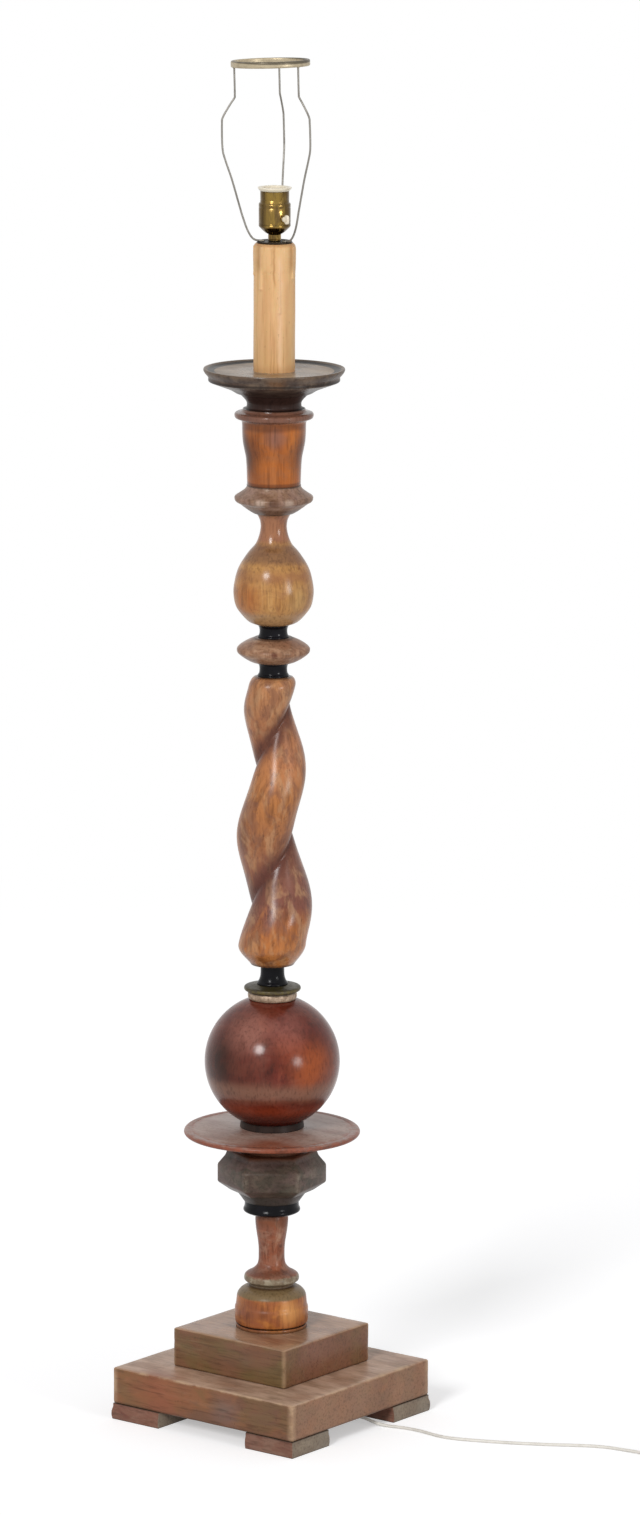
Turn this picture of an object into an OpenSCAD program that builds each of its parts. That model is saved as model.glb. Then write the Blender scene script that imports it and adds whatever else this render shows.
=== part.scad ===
// Candlestick floor lamp: turned wood pieces strung on one lamp tube over a
// stepped plinth, with a keyed lamp holder and a wire shade carrier on top.
// Millimetres, +Z up. The origin is the middle of the plinth, on the floor.

/* [Plinth] */
// Length of the lower plinth along X
plinth_x = 278; // [240:1:320]
// Width of the lower plinth along Y
plinth_y = 271; // [240:1:320]
// Thickness of the lower plinth
plinth_h = 45; // [38:1:60]
// How far the upper plinth steps back on each side
step_back = 53; // [46:1:60]
// Thickness of the upper plinth
step_h = 48; // [36:1:60]
// Worn chamfer along the plinth edges
worn_edge = 2.5; // [1:0.5:4]
// Height of the corner feet
foot_h = 20; // [18:1:26]
// Side of a corner foot
foot_side = 71.5; // [56:0.5:80]
// How far a foot's moulding stands out
foot_flare = 1.5; // [1:0.5:6]

/* [Lower turnings] */
// Diameter of the drum on the plinth
drum_d = 89; // [80:1:110]
// Height of the drum
drum_h = 52; // [44:1:60]
// Diameter of the stem's flange
stem_d = 67; // [58:1:80]
// Height of the stem
stem_h = 89; // [75:1:110]
// Diameter of the black collar over the stem
low_collar_d = 69; // [62:1:80]
// Height of the black collar over the stem
low_collar_h = 17; // [12:1:22]
// Width across the corners of the six-sided knop
knop_d = 133; // [120:1:150]
// Height of the knop with its neck
knop_h = 82.5; // [70:0.5:95]
// Diameter of the neck over the knop
knop_neck_d = 76; // [68:1:90]
// Diameter of the wide disc
disc_d = 214; // [190:1:240]
// Thickness of the wide disc
disc_h = 9.5; // [8:0.5:12]
// Thickness of the disc at its rim
disc_rim_h = 7; // [5:0.5:8]
// Diameter of the ball
ball_d = 164; // [150:1:180]
// Diameter of the cupped seat under the ball
seat_d = 76; // [60:1:84]
// Diameter of the gilt ring over the ball
gilt_d = 68; // [62:1:80]
// Height of the gilt ring
gilt_h = 18.5; // [16:0.5:26]

/* [Twisted column] */
// Height of the twisted column
twist_h = 353.5; // [300:0.5:400]
// Diameter of the twist at its top
twist_top_d = 55.5; // [54:0.5:70]
// Diameter of the twist at its foot
twist_foot_d = 83.5; // [70:0.5:90]
// Rise of one turn at the top
pitch_top = 143; // [120:1:160]
// Rise of one turn at the foot
pitch_foot = 192; // [170:1:230]
// Depth of the carved groove
groove_depth = 7; // [5:0.5:10]
// Diameter of the black collars at the twist
collar_d = 37; // [33:1:44]
// Height of the black collar under the twist
collar_foot_h = 25; // [15:1:30]
// Height of the black collar over the twist
collar_top_h = 17; // [13:1:22]

/* [Upper turnings] */
// Diameter of the flat bead
bead_d = 88; // [76:1:100]
// Height of the flat bead
bead_h = 30; // [24:1:36]
// Height of the black collar under the pear
pear_collar_h = 16; // [12:1:20]
// Diameter of the pear
pear_d = 96; // [86:1:110]
// Height of the pear with its neck
pear_h = 135; // [120:1:150]
// Diameter of the moulded ring under the cup
cup_ring_d = 94; // [84:1:106]
// Height of the moulded ring under the cup
cup_ring_h = 34; // [28:1:40]
// Diameter of the cup's rim
cup_d = 94; // [86:1:104]
// Height of the cup
cup_h = 92; // [80:1:105]

/* [Pan and candle] */
// Height of the neck under the drip pan
pan_neck_h = 19; // [15:1:24]
// Diameter of the neck under the drip pan at its waist
pan_neck_d = 65; // [58:1:74]
// Diameter of the drip pan
pan_d = 169; // [150:1:190]
// Height of the drip pan
pan_h = 29; // [25:1:34]
// Thickness of the pan's floor
pan_floor = 26; // [18:0.5:26.5]
// Diameter of the candle sleeve
candle_d = 49.6; // [46:0.2:56]
// Height of the candle sleeve
candle_h = 153; // [120:1:190]
// Hollow inside the candle sleeve
candle_bore_d = 32; // [26:1:34]

/* [Lamp tube] */
// Outside diameter of the lamp tube
tube_d = 10; // [9:0.5:12]
// Wall of the lamp tube
tube_wall = 1; // [0.8:0.1:1.5]
// Radial clearance of the bores round the tube
tube_gap = 0.3; // [0.15:0.05:0.5]

/* [Lamp holder] */
// Diameter of the holder's lower shell
shell_d = 38; // [38:0.2:43]
// Height of the holder from its cap to its rim
holder_h = 64; // [62:1:72]
// Bore that takes the bulb's screw cap
bulb_bore_d = 26.7; // [26.7:0.1:27.4]
// Height of the threaded shell
screw_shell_h = 25; // [22:1:27]
// Direction in which the switch key points, in degrees
key_angle = -20; // [-60:5:20]
// Length of the switch key's paddle
key_length = 10; // [8:0.5:14]

/* [Shade carrier] */
// Outside diameter of the ring that a shade rests on
ring_d = 94; // [80:1:110]
// Height of the ring over the candle's top plate
carrier_h = 216.5; // [180:0.5:240]
// Diameter of the carrier wires
wire_d = 2.4; // [2:0.1:3.2]
// Radius of the widest part of the wires
bulge_r = 61.5; // [54:0.5:70]
// How far the carrier leans, in degrees
carrier_lean = 2.5; // [0:0.5:3]

/* [Cord] */
// Diameter of the mains cord
cord_d = 4; // [3.6:0.1:4.2]

/* [Hidden] */
$fn = 96;
eps = 0.01;

// Heights of the seams, from the floor up
z_lower = foot_h;
z_upper = z_lower + plinth_h;
z_drum = z_upper + step_h;
z_stem = z_drum + drum_h;
z_low_collar = z_stem + stem_h;
z_knop = z_low_collar + low_collar_h;
z_disc = z_knop + knop_h;
z_seat = z_disc + disc_h;
ball_foot_r = 9;
ball_head_r = gilt_d/2 - 6;
z_ball_mid = z_seat + sqrt(pow(ball_d/2, 2) - pow(ball_foot_r, 2));
z_gilt = z_ball_mid + sqrt(pow(ball_d/2, 2) - pow(ball_head_r, 2));
z_collar_low = z_gilt + gilt_h;
z_twist = z_collar_low + collar_foot_h;
z_collar_high = z_twist + twist_h;
z_bead = z_collar_high + collar_top_h;
z_pear_collar = z_bead + bead_h;
z_pear = z_pear_collar + pear_collar_h;
z_cup_ring = z_pear + pear_h;
z_cup = z_cup_ring + cup_ring_h;
z_pan_neck = z_cup + cup_h;
z_pan = z_pan_neck + pan_neck_h;
z_candle = z_pan + pan_floor;
z_plate = z_candle + candle_h;
plate_t = 2.5;
z_holder = z_plate + plate_t;

// Lamp tube, its nuts and the recess under the plinth
bore_r = tube_d/2 + tube_gap;
recess_depth = 24;
recess_r = 18;
washer_r = 15;
washer_t = 2;
nut_h = 6;
nut_across = 17;
z_recess = z_lower + recess_depth;
tube_tail = 4;
z_tube_foot = z_recess - washer_t - nut_h - tube_tail;
z_tube_head = z_holder + 11;

// Screws under the plinth
screw_r = 2.2;
screw_head_r = 4.6;
screw_head_h = 2.8;
screw_gap = 0.2;
foot_screw_len = 38;
plinth_screw_len = 62;
plinth_screw_inset = 22;

// Lamp holder
shell_wall = 0.8;
shell_r = shell_d/2;
collar_shell_r = shell_r - 1.8;
cap_h = 19.5;
shell_low_h = 26;
rim_h = 4.5;
z_cap_top = z_holder + cap_h;
z_shell_step = z_cap_top + shell_low_h;
z_rim = z_holder + holder_h;
body_flange_h = 3;
body_h = z_rim - screw_shell_h - z_cap_top;
z_body_top = z_cap_top + body_h;
body_r = collar_shell_r - shell_wall - 0.3;
liner_wall = 0.6;
screw_shell_wall = 0.75;
z_key = z_cap_top + 8;
spindle_r = 1.5;
spindle_bore_r = spindle_r + 0.06;
cam_r = 3.4;
cam_len = 4;
cam_from = 4;
spindle_from = cam_from;
spindle_to = shell_r + 4;
boss_r = 3.6;
boss_to = shell_r + 1.6;
paddle_from = boss_to + 0.4;
paddle_w = 11;
paddle_t = 3.2;

// Shade carrier
ring_section_w = 4.5;
ring_section_h = 7.5;
ring_mid_r = ring_d/2 - ring_section_w/2;
wire_r = wire_d/2;
wire_bite = 0.3;
plate_r = 21;
wire_root_r = 14;
wire_angles = [235, 355, 115];
lean_towards = 165;

// Cord: held stretch, clamp and exit
cord_r = cord_d/2;
cord_z = 10;
exit_angle = 17;
clamp_from = 62;
clamp_len = 14;
clamp_w = 24;
relief_from = clamp_from + clamp_len;
relief_len = 32;
exit_reach = relief_from + relief_len;

// Cord: route on the floor from the strain relief to the coil
run_points = [
    [103.3, 31.6, 10], [111, 34, 9.5], [120, 36.5, 7.5], [129, 39, 4.8],
    [138, 41.5, 2.8], [147, 44, 2], [157, 47, 2], [168, 49.5, 2],
    [180, 51, 2], [192, 51, 2], [204, 49.5, 2], [216, 48, 2],
    [228, 48, 2], [240, 50, 2], [252, 54, 2], [264, 59, 2],
    [278, 65, 2], [292, 71.5, 2], [306, 78.5, 2], [320, 86, 2],
    [334, 94, 2], [348, 102.5, 2], [362, 111.5, 2], [376, 120.5, 2],
    [390, 128.5, 2], [404, 134.5, 2], [418, 138, 2], [432, 139.4, 2.2],
    [446, 139.8, 2.8], [458, 140, 3], [470, 140, 3], [484, 140, 3]
];

// Cord: the wound coil
coil_turns = 11;
coil_layers = 4;
coil_gap = 0.5;
coil_r = 30;
coil_steps = 24;
coil_sides = 6;
coil_floor = 1;
coil_start = [488, 140];
coil_mid = coil_start + [0, coil_r];

// Cord: route from the coil down to the plug
tail_points = [
    [492, 140, 16.5], [498, 139.8, 16.2], [506, 139.2, 14.6],
    [514, 139, 12], [522, 140.2, 9.6], [530, 143.6, 8], [536.5, 149, 7],
    [541, 156, 6.6], [543, 164, 6.5], [543, 172, 6.5], [543, 176, 6.5]
];

// ---------------------------------------------------------------- helpers

// A smooth curve through hand-set points, n steps from each to the next.
function spline(p, n) = [
    for (i = [0 : len(p) - 2], k = [0 : n - 1])
        let (a = p[max(i - 1, 0)], b = p[i], c = p[i + 1],
             d = p[min(i + 2, len(p) - 1)], t = k/n)
        0.5*(2*b + (c - a)*t + (2*a - 5*b + 4*c - d)*t*t
            + (3*b - a - 3*c + d)*t*t*t),
    p[len(p) - 1]
];

// A profile drawn as shares of a piece's own radius and height.
function sized(shape, d, h) = [for (p = shape) [p[0]*d/2, p[1]*h]];

// A turned solid from a smooth outline of [radius, height] points.
module turned(outline, bore = bore_r, steps = 3) {
    curve = spline(outline, steps);
    last = len(outline) - 1;
    rotate_extrude()
        polygon(concat([[bore, outline[0][1]]], curve,
                       [[bore, outline[last][1]]]));
}

function unit(v) = v/norm(v);

// The frame of a swept tube: u and v lie across the direction t.
function side_of(t) = unit(cross(t, abs(t[2]) > 0.9 ? [1, 0, 0] : [0, 0, 1]));

// A closed tube of flat sides swept along a list of points.
module tube_along(path, r, sides = 8) {
    n = len(path);
    tangents = [
        for (i = [0 : n - 1])
            unit(path[min(i + 1, n - 1)] - path[max(i - 1, 0)])
    ];
    rings = [
        for (i = [0 : n - 1])
            let (u = side_of(tangents[i]), v = cross(u, tangents[i]))
            for (k = [0 : sides - 1])
                let (a = 360*k/sides + 180/sides)
                path[i] + r*(cos(a)*u + sin(a)*v)
    ];
    walls = [
        for (i = [0 : n - 2], k = [0 : sides - 1])
            let (a = i*sides + k, b = i*sides + (k + 1) % sides)
            each [[a, b, b + sides], [a, b + sides, a + sides]]
    ];
    ends = [
        for (k = [1 : sides - 2])
            each [[0, k + 1, k],
                  [(n - 1)*sides, (n - 1)*sides + k, (n - 1)*sides + k + 1]]
    ];
    polyhedron(rings, concat(walls, ends));
}

// A block whose upright edges and top edges are worn to a chamfer.
module worn_block(x, y, h, wear) {
    hull() {
        translate([-x/2 + wear, -y/2, 0]) cube([x - 2*wear, y, h - wear]);
        translate([-x/2, -y/2 + wear, 0]) cube([x, y - 2*wear, h - wear]);
        translate([-x/2 + wear, -y/2 + wear, 0])
            cube([x - 2*wear, y - 2*wear, h]);
    }
}

module hex_nut(across, h, hole) {
    difference() {
        cylinder(d = across/cos(30), h = h, $fn = 6);
        translate([0, 0, -1]) cylinder(r = hole, h = h + 2);
    }
}

// A countersunk wood screw, head down, its head's face at z = 0.
module wood_screw(len) {
    cylinder(r1 = screw_head_r, r2 = screw_r, h = screw_head_h, $fn = 32);
    cylinder(r = screw_r, h = len - 6, $fn = 32);
    translate([0, 0, len - 6]) cylinder(r1 = screw_r, r2 = 0.4, h = 6, $fn = 32);
}

// The hole that takes that screw with a small gap all round.
module screw_hole(len) {
    translate([0, 0, -30 + eps]) cylinder(r = screw_head_r + screw_gap, h = 30, $fn = 32);
    cylinder(r1 = screw_head_r + screw_gap, r2 = screw_r + screw_gap,
             h = screw_head_h, $fn = 32);
    cylinder(r = screw_r + screw_gap, h = len + 0.5, $fn = 32);
}

// ------------------------------------------------------------ feet, plinth

// The two outer sides of a foot carry one moulding, mitred at the corner.
foot_moulding = [
    [0, 1], [0, 0.8], [0.35, 0.7], [0.85, 0.55], [1, 0.38],
    [0.95, 0.22], [0.6, 0.08], [0.4, 0]
];

module foot_profile() {
    polygon(concat([[-foot_side, 0], [-foot_side, foot_h]],
                   [for (p = foot_moulding) [p[0]*foot_flare, p[1]*foot_h]]));
}

module foot_block() {
    intersection() {
        translate([0, 2*foot_flare, 0]) rotate([90, 0, 0])
            linear_extrude(foot_side + 2*foot_flare) foot_profile();
        translate([2*foot_flare, 0, 0]) rotate([90, 0, -90]) mirror([1, 0, 0])
            linear_extrude(foot_side + 2*foot_flare) foot_profile();
    }
}

foot_screw_at = [
    [plinth_x/2 - foot_side*0.3, plinth_y/2 - foot_side*0.7],
    [plinth_x/2 - foot_side*0.7, plinth_y/2 - foot_side*0.3]
];

module foot(sx, sy) {
    color("#6e5a4a") difference() {
        mirror([sx < 0 ? 1 : 0, 0, 0]) mirror([0, sy < 0 ? 1 : 0, 0])
            translate([plinth_x/2, plinth_y/2, 0]) foot_block();
        for (p = foot_screw_at)
            translate([sx*p[0], sy*p[1], foot_screw_sink]) screw_hole(foot_screw_len);
    }
}

foot_screw_sink = 5;

module foot_screws() {
    color("#8f8a80") for (sx = [-1, 1], sy = [-1, 1], p = foot_screw_at)
        translate([sx*p[0], sy*p[1], foot_screw_sink]) wood_screw(foot_screw_len);
}

step_x = plinth_x - 2*step_back;
step_y = plinth_y - 2*step_back + 3;
plinth_screw_at = [
    for (sx = [-1, 1], sy = [-1, 1])
        [sx*(step_x/2 - plinth_screw_inset), sy*(step_y/2 - plinth_screw_inset)]
];
plinth_screw_sink = 2;

module plinth_screws() {
    color("#8f8a80") for (p = plinth_screw_at)
        translate([p[0], p[1], z_lower + plinth_screw_sink])
            wood_screw(plinth_screw_len);
}

module plinth_lower() {
    color("#8a5436") difference() {
        translate([0, 0, z_lower]) worn_block(plinth_x, plinth_y, plinth_h, worn_edge);
        cylinder(r = bore_r, h = z_upper + 1);
        cylinder(r = recess_r, h = z_recess);
        for (sx = [-1, 1], sy = [-1, 1], p = foot_screw_at)
            translate([sx*p[0], sy*p[1], foot_screw_sink]) screw_hole(foot_screw_len);
        for (p = plinth_screw_at)
            translate([p[0], p[1], z_lower + plinth_screw_sink])
                screw_hole(plinth_screw_len);
        for (p = clamp_screw_at)
            translate([p[0], p[1], z_clamp_foot]) screw_hole(clamp_screw_len);
    }
}

module plinth_upper() {
    color("#7d5233") difference() {
        translate([0, 0, z_upper]) worn_block(step_x, step_y, step_h, worn_edge);
        cylinder(r = bore_r, h = z_drum + 1);
        for (p = plinth_screw_at)
            translate([p[0], p[1], z_lower + plinth_screw_sink])
                screw_hole(plinth_screw_len);
    }
}

// -------------------------------------------------------------- turnings

drum_shape = [
    [0.97, 0], [0.97, 0.07], [0.925, 0.09], [0.925, 0.105], [0.985, 0.13],
    [1, 0.26], [1, 0.46], [0.97, 0.56], [0.955, 0.68], [0.93, 0.8],
    [0.84, 0.9], [0.7, 0.965], [0.6, 1]
];

module base_drum() {
    color("#a4592b") translate([0, 0, z_drum])
        turned(sized(drum_shape, drum_d, drum_h));
}

stem_shape = [
    [0.8, 0], [0.81, 0.025], [0.88, 0.045], [0.98, 0.07], [1, 0.1],
    [0.98, 0.14], [0.9, 0.17], [0.69, 0.215], [0.53, 0.28], [0.48, 0.35],
    [0.472, 0.43], [0.475, 0.52], [0.5, 0.62], [0.55, 0.74], [0.585, 0.84],
    [0.6, 0.93], [0.58, 1]
];

module base_stem() {
    color("#8c4a2d") translate([0, 0, z_stem])
        turned(sized(stem_shape, stem_d, stem_h));
}

low_collar_shape = [
    [0.68, 0], [0.82, 0.08], [0.98, 0.24], [1, 0.4], [0.96, 0.62], [0.95, 1]
];

module low_collar() {
    color("#1c1a1c") translate([0, 0, z_low_collar])
        turned(sized(low_collar_shape, low_collar_d, low_collar_h));
}

// The knop: a round foot, a six-sided slab with sloping facets and a neck.
knop_slab_from = 0.144;
knop_slab_to = 0.762;
knop_slab = [[0.75, 0.144], [1, 0.278], [1, 0.546], [0.86, 0.68], [0.82, 0.762]];
knop_turn = 38;

module knop_facets() {
    corners = [
        for (level = knop_slab, i = [0 : 5])
            [level[0]*knop_d/2*cos(60*i), level[0]*knop_d/2*sin(60*i),
             level[1]*knop_h]
    ];
    top = 6*(len(knop_slab) - 1);
    walls = [
        for (i = [0 : len(knop_slab) - 2], k = [0 : 5])
            let (a = 6*i + k, b = 6*i + (k + 1) % 6)
            [b, a, a + 6, b + 6]
    ];
    polyhedron(corners, concat(walls, [[0, 1, 2, 3, 4, 5]],
                               [[for (k = [5 : -1 : 0]) top + k]]));
}

module hex_knop() {
    foot_r = low_collar_d/2;
    sunk = 2;
    foot_h = knop_slab_from*knop_h;
    neck_z = knop_slab_to*knop_h - sunk;
    color("#5b4a3d") translate([0, 0, z_knop]) difference() {
        union() {
            cylinder(r1 = foot_r, r2 = knop_d*0.33, h = foot_h + sunk);
            rotate([0, 0, knop_turn]) knop_facets();
            translate([0, 0, neck_z]) cylinder(d = knop_neck_d, h = knop_h - neck_z);
        }
        translate([0, 0, -1]) cylinder(r = bore_r, h = knop_h + 2);
    }
}

module wide_disc() {
    r = disc_d/2;
    lip = disc_rim_h/2;
    dish = 1.2;
    color("#8d4a38") translate([0, 0, z_disc]) rotate_extrude()
        polygon(concat(
            [[bore_r, 0], [r - 16, 0], [r - 5, 0.6]],
            [for (a = [-60 : 15 : 90]) [r - lip + lip*cos(a), lip + lip*sin(a)*0.9]],
            [[r - 9, disc_rim_h - 0.4], [seat_d/2 + 6, disc_h - dish],
             [seat_d/2 + 1, disc_h], [bore_r, disc_h]]));
}

module ball_seat() {
    rise = z_ball_mid - sqrt(pow(ball_d/2, 2) - pow(seat_d/2, 2)) - z_seat;
    color("#241c1a") difference() {
        translate([0, 0, z_seat]) cylinder(d1 = seat_d + 2, d2 = seat_d, h = rise);
        translate([0, 0, z_ball_mid]) sphere(d = ball_d + 0.6, $fn = 128);
        translate([0, 0, z_seat - 1]) cylinder(r = ball_foot_r + 8, h = 4);
    }
}

module ball() {
    mid_r = ball_d/2;
    foot_a = -acos(ball_foot_r/mid_r);
    head_a = acos(ball_head_r/mid_r);
    steps = 48;
    color("#5a2216") translate([0, 0, z_ball_mid]) rotate_extrude($fn = 128)
        polygon(concat(
            [[bore_r, mid_r*sin(foot_a)]],
            [for (i = [0 : steps])
                let (a = foot_a + (head_a - foot_a)*i/steps)
                [mid_r*cos(a), mid_r*sin(a)]],
            [[bore_r, mid_r*sin(head_a)]]));
}

gilt_shape = [
    [0.8, 0], [0.84, 0.06], [0.87, 0.2], [0.87, 0.36], [0.84, 0.47], [0.85, 0.53],
    [0.96, 0.6], [1, 0.68], [1, 0.8], [0.95, 0.88], [0.75, 0.94], [0.62, 1]
];

module gilt_ring() {
    color("#8a7148") translate([0, 0, z_gilt])
        turned(sized(gilt_shape, gilt_d, gilt_h));
}

collar_shape = [
    [1, 0], [1, 0.1], [0.93, 0.22], [0.9, 0.4], [0.9, 0.62], [0.94, 0.8],
    [1, 0.92], [1, 1]
];

waisted_shape = [
    [1, 0], [1, 0.08], [0.88, 0.2], [0.79, 0.42], [0.77, 0.7], [0.78, 0.88],
    [0.84, 1]
];

module black_collar(z, h, shape = collar_shape) {
    color("#1c1b1d") translate([0, 0, z]) turned(sized(shape, collar_d, h));
}

// The twist: an off-centre round strand with one sharp groove beside it.
twist_rings = 60;
twist_sides = 44;
groove_at_top = 120.6;
strand_share = 0.23;
groove_width = 28;
ramp_top = 50;
ramp_foot = 80;
shoulder_top = 11;
shoulder_foot = 25;

function turns_down(s) =
    abs(pitch_foot - pitch_top) < 0.5 ? s/pitch_top :
    twist_h/(pitch_foot - pitch_top)
        * ln(1 + (pitch_foot - pitch_top)*s/(twist_h*pitch_top));

function rounded_end(x, reach) = x >= reach ? 1 : sqrt(1 - pow(1 - x/reach, 2));

function twist_radius(a, s) =
    let (full = (twist_top_d + (twist_foot_d - twist_top_d)*s/twist_h)/2,
         top = rounded_end(s, shoulder_top),
         foot = pow(sin(90*min(1, (twist_h - s)/shoulder_foot)), 1.2),
         fade = sin(min(90, 90*s/ramp_top))
              * sin(min(90, 90*(twist_h - s)/ramp_foot)),
         off = strand_share*full*fade,
         d = abs(((a - groove_at_top + 360*turns_down(s)) % 360 + 540) % 360 - 180),
         round_r = -off*cos(d) + sqrt(full*full - pow(off*sin(d), 2)),
         carved = round_r - groove_depth*fade*exp(-d/groove_width),
         end_r = s < twist_h/2 ? collar_d/2 + 1.5 : collar_d/2 + 7.5)
    end_r + (carved - end_r)*top*foot;

module twist_column() {
    levels = [
        0, 1, 3, 6, 10,
        each [for (i = [1 : twist_rings]) 10 + (twist_h - 32)*i/twist_rings],
        twist_h - 17, twist_h - 12, twist_h - 7, twist_h - 3, twist_h - 1, twist_h
    ];
    n = len(levels);
    m = twist_sides;
    rings = [
        for (s = levels, k = [0 : m - 1])
            let (a = 360*k/m, r = twist_radius(a, s))
            [r*cos(a), r*sin(a), twist_h - s]
    ];
    walls = [
        for (i = [0 : n - 2], k = [0 : m - 1])
            let (a = i*m + k, b = i*m + (k + 1) % m)
            each [[a, b, b + m], [a, b + m, a + m]]
    ];
    ends = [
        for (k = [0 : m - 1])
            each [[n*m, (k + 1) % m, k],
                  [n*m + 1, (n - 1)*m + k, (n - 1)*m + (k + 1) % m]]
    ];
    points = concat(rings, [[0, 0, twist_h], [0, 0, 0]]);
    color("#9a5a2c") translate([0, 0, z_twist]) difference() {
        polyhedron(points, concat(walls, ends));
        translate([0, 0, -1]) cylinder(r = bore_r, h = twist_h + 2);
    }
}

bead_shape = [
    [0.54, 0], [0.64, 0.05], [0.82, 0.2], [0.97, 0.38], [1, 0.5], [0.98, 0.6],
    [0.89, 0.72], [0.72, 0.87], [0.56, 0.97], [0.52, 1]
];

module flat_bead() {
    color("#a5753f") translate([0, 0, z_bead])
        turned(sized(bead_shape, bead_d, bead_h));
}

pear_shape = [
    [0.44, 0], [0.63, 0.03], [0.83, 0.105], [0.95, 0.175], [1, 0.275],
    [0.985, 0.36], [0.92, 0.465], [0.83, 0.54], [0.695, 0.615],
    [0.59, 0.665], [0.455, 0.72], [0.375, 0.785], [0.333, 0.85],
    [0.328, 0.9], [0.36, 0.95], [0.44, 1]
];

module pear() {
    color("#a4763c") translate([0, 0, z_pear])
        turned(sized(pear_shape, pear_d, pear_h));
}

cup_ring_shape = [
    [0.52, 0], [0.64, 0.1], [0.78, 0.24], [0.86, 0.33], [0.97, 0.42],
    [1, 0.52], [0.985, 0.6], [0.88, 0.7], [0.75, 0.83], [0.69, 0.94], [0.69, 1]
];

module cup_ring() {
    color("#7f6a56") translate([0, 0, z_cup_ring])
        turned(sized(cup_ring_shape, cup_ring_d, cup_ring_h));
}

cup_shape = [
    [0.68, 0], [0.685, 0.1], [0.695, 0.25], [0.715, 0.37], [0.755, 0.47],
    [0.79, 0.57], [0.805, 0.68], [0.81, 0.79], [0.82, 0.83], [0.86, 0.855],
    [0.97, 0.875], [1, 0.9], [1, 0.93], [0.96, 0.95], [0.83, 0.968],
    [0.79, 1]
];

module candle_cup() {
    color("#a5521f") translate([0, 0, z_cup])
        turned(sized(cup_shape, cup_d, cup_h));
}

pan_neck_shape = [
    [1.12, 0], [1.03, 0.08], [1, 0.25], [1.02, 0.45], [1.12, 0.68],
    [1.24, 0.88], [1.32, 1]
];

module pan_neck() {
    color("#2a2220") translate([0, 0, z_pan_neck])
        turned(sized(pan_neck_shape, pan_neck_d, pan_neck_h));
}

pan_outside = [
    [0.545, 0], [0.64, 0.16], [0.79, 0.33], [0.9, 0.45], [0.93, 0.5],
    [0.93, 0.64], [0.945, 0.7], [0.98, 0.82], [1, 0.93], [0.995, 1]
];

module drip_pan() {
    r = pan_d/2;
    wall = 3.5;
    outside = spline(sized(pan_outside, pan_d, pan_h), 3);
    color("#3b2c25") translate([0, 0, z_pan]) rotate_extrude($fn = 128)
        polygon(concat(
            [[bore_r, 0]], outside,
            [[r - wall, pan_h - 0.6], [r - wall - 2, pan_h - 0.6 - (pan_h - pan_floor)/3],
             [r - wall - 5, pan_floor + 0.3], [r - wall - 9, pan_floor],
             [bore_r, pan_floor]]));
}

module pan_washer() {
    color("#9c9588") translate([0, 0, z_candle]) difference() {
        cylinder(r = candle_bore_d/2 - 2, h = washer_t, $fn = 48);
        translate([0, 0, -1]) cylinder(r = bore_r, h = washer_t + 2);
    }
}

module pan_nut() {
    color("#a08a55") translate([0, 0, z_candle + washer_t])
        hex_nut(nut_across, nut_h, tube_d/2 + 0.1);
}

// ---------------------------------------------------------- candle sleeve

// [angle, length, radius] of each run of wax down the sleeve
wax_runs = [
    [-92, 46, 3.4], [-38, 74, 2.8], [8, 34, 3.2], [62, 58, 3], [128, 40, 3.4],
    [190, 66, 2.8], [232, 30, 3]
];

module candle_sleeve() {
    r = candle_d/2;
    color("#c89a62") translate([0, 0, z_candle]) difference() {
        union() {
            turned([[r, 0], [r, candle_h*0.3], [r, candle_h*0.74],
                    [r + 0.4, candle_h*0.8], [r + 0.7, candle_h*0.9],
                    [r + 0.6, candle_h*0.95], [r - 0.3, candle_h*0.98],
                    [r - 2.6, candle_h]], candle_bore_d/2);
            for (w = wax_runs) rotate([0, 0, w[0]])
                translate([r - 1.8, 0, candle_h - 6 - w[1]]) {
                    cylinder(r = w[2], h = w[1], $fn = 24);
                    sphere(r = w[2] + 0.3, $fn = 24);
                    translate([0, 0, w[1]]) sphere(r = w[2], $fn = 24);
                }
        }
        translate([0, 0, -1]) cylinder(d = candle_bore_d, h = candle_h + 2);
    }
}

// ----------------------------------------------------------- shade carrier

module leaning() {
    translate([0, 0, z_plate]) rotate([0, 0, lean_towards])
        rotate([0, carrier_lean, 0]) rotate([0, 0, -lean_towards]) children();
}

module carrier_plate() {
    color("#3d342c") translate([0, 0, z_plate]) difference() {
        cylinder(r = plate_r, h = plate_t);
        translate([0, 0, -1]) cylinder(r = bore_r, h = plate_t + 2);
    }
}

// A wire in its own upright plane: [distance from the middle, height].
wire_foot_z = plate_t + wire_r - wire_bite;
wire_top_z = carrier_h - ring_section_h + wire_bite;
wire_shape = [
    [wire_root_r, wire_foot_z], [plate_r - 3, wire_foot_z],
    [plate_r + 3, wire_foot_z + 1], [plate_r + 8, wire_foot_z + 5],
    [bulge_r*0.55, carrier_h*0.08], [bulge_r*0.62, carrier_h*0.14],
    [bulge_r*0.72, carrier_h*0.245], [bulge_r*0.83, carrier_h*0.36],
    [bulge_r*0.95, carrier_h*0.465], [bulge_r, carrier_h*0.53],
    [bulge_r, carrier_h*0.66], [bulge_r - 1.5, carrier_h*0.7],
    [bulge_r*0.83, carrier_h*0.765], [ring_mid_r + 0.8, carrier_h*0.8],
    [ring_mid_r, carrier_h*0.82], [ring_mid_r, wire_top_z]
];

// The wires lie flat on the plate and take the lean over their first bend.
function leaned(p) =
    let (t = carrier_lean*min(1, max(0, (p[2] - plate_t - 4)/30)),
         n = [cos(lean_towards), sin(lean_towards), 0],
         out = p*n,
         move = out*(cos(t) - 1) + p[2]*sin(t))
    [p[0] + move*n[0], p[1] + move*n[1], p[2]*cos(t) - out*sin(t)];

module carrier_wire(i) {
    path = [
        for (p = spline(wire_shape, 3))
            leaned([p[0]*cos(wire_angles[i]), p[0]*sin(wire_angles[i]), p[1]])
    ];
    color("#8e8c88") translate([0, 0, z_plate]) tube_along(path, wire_r, 8);
}

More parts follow.
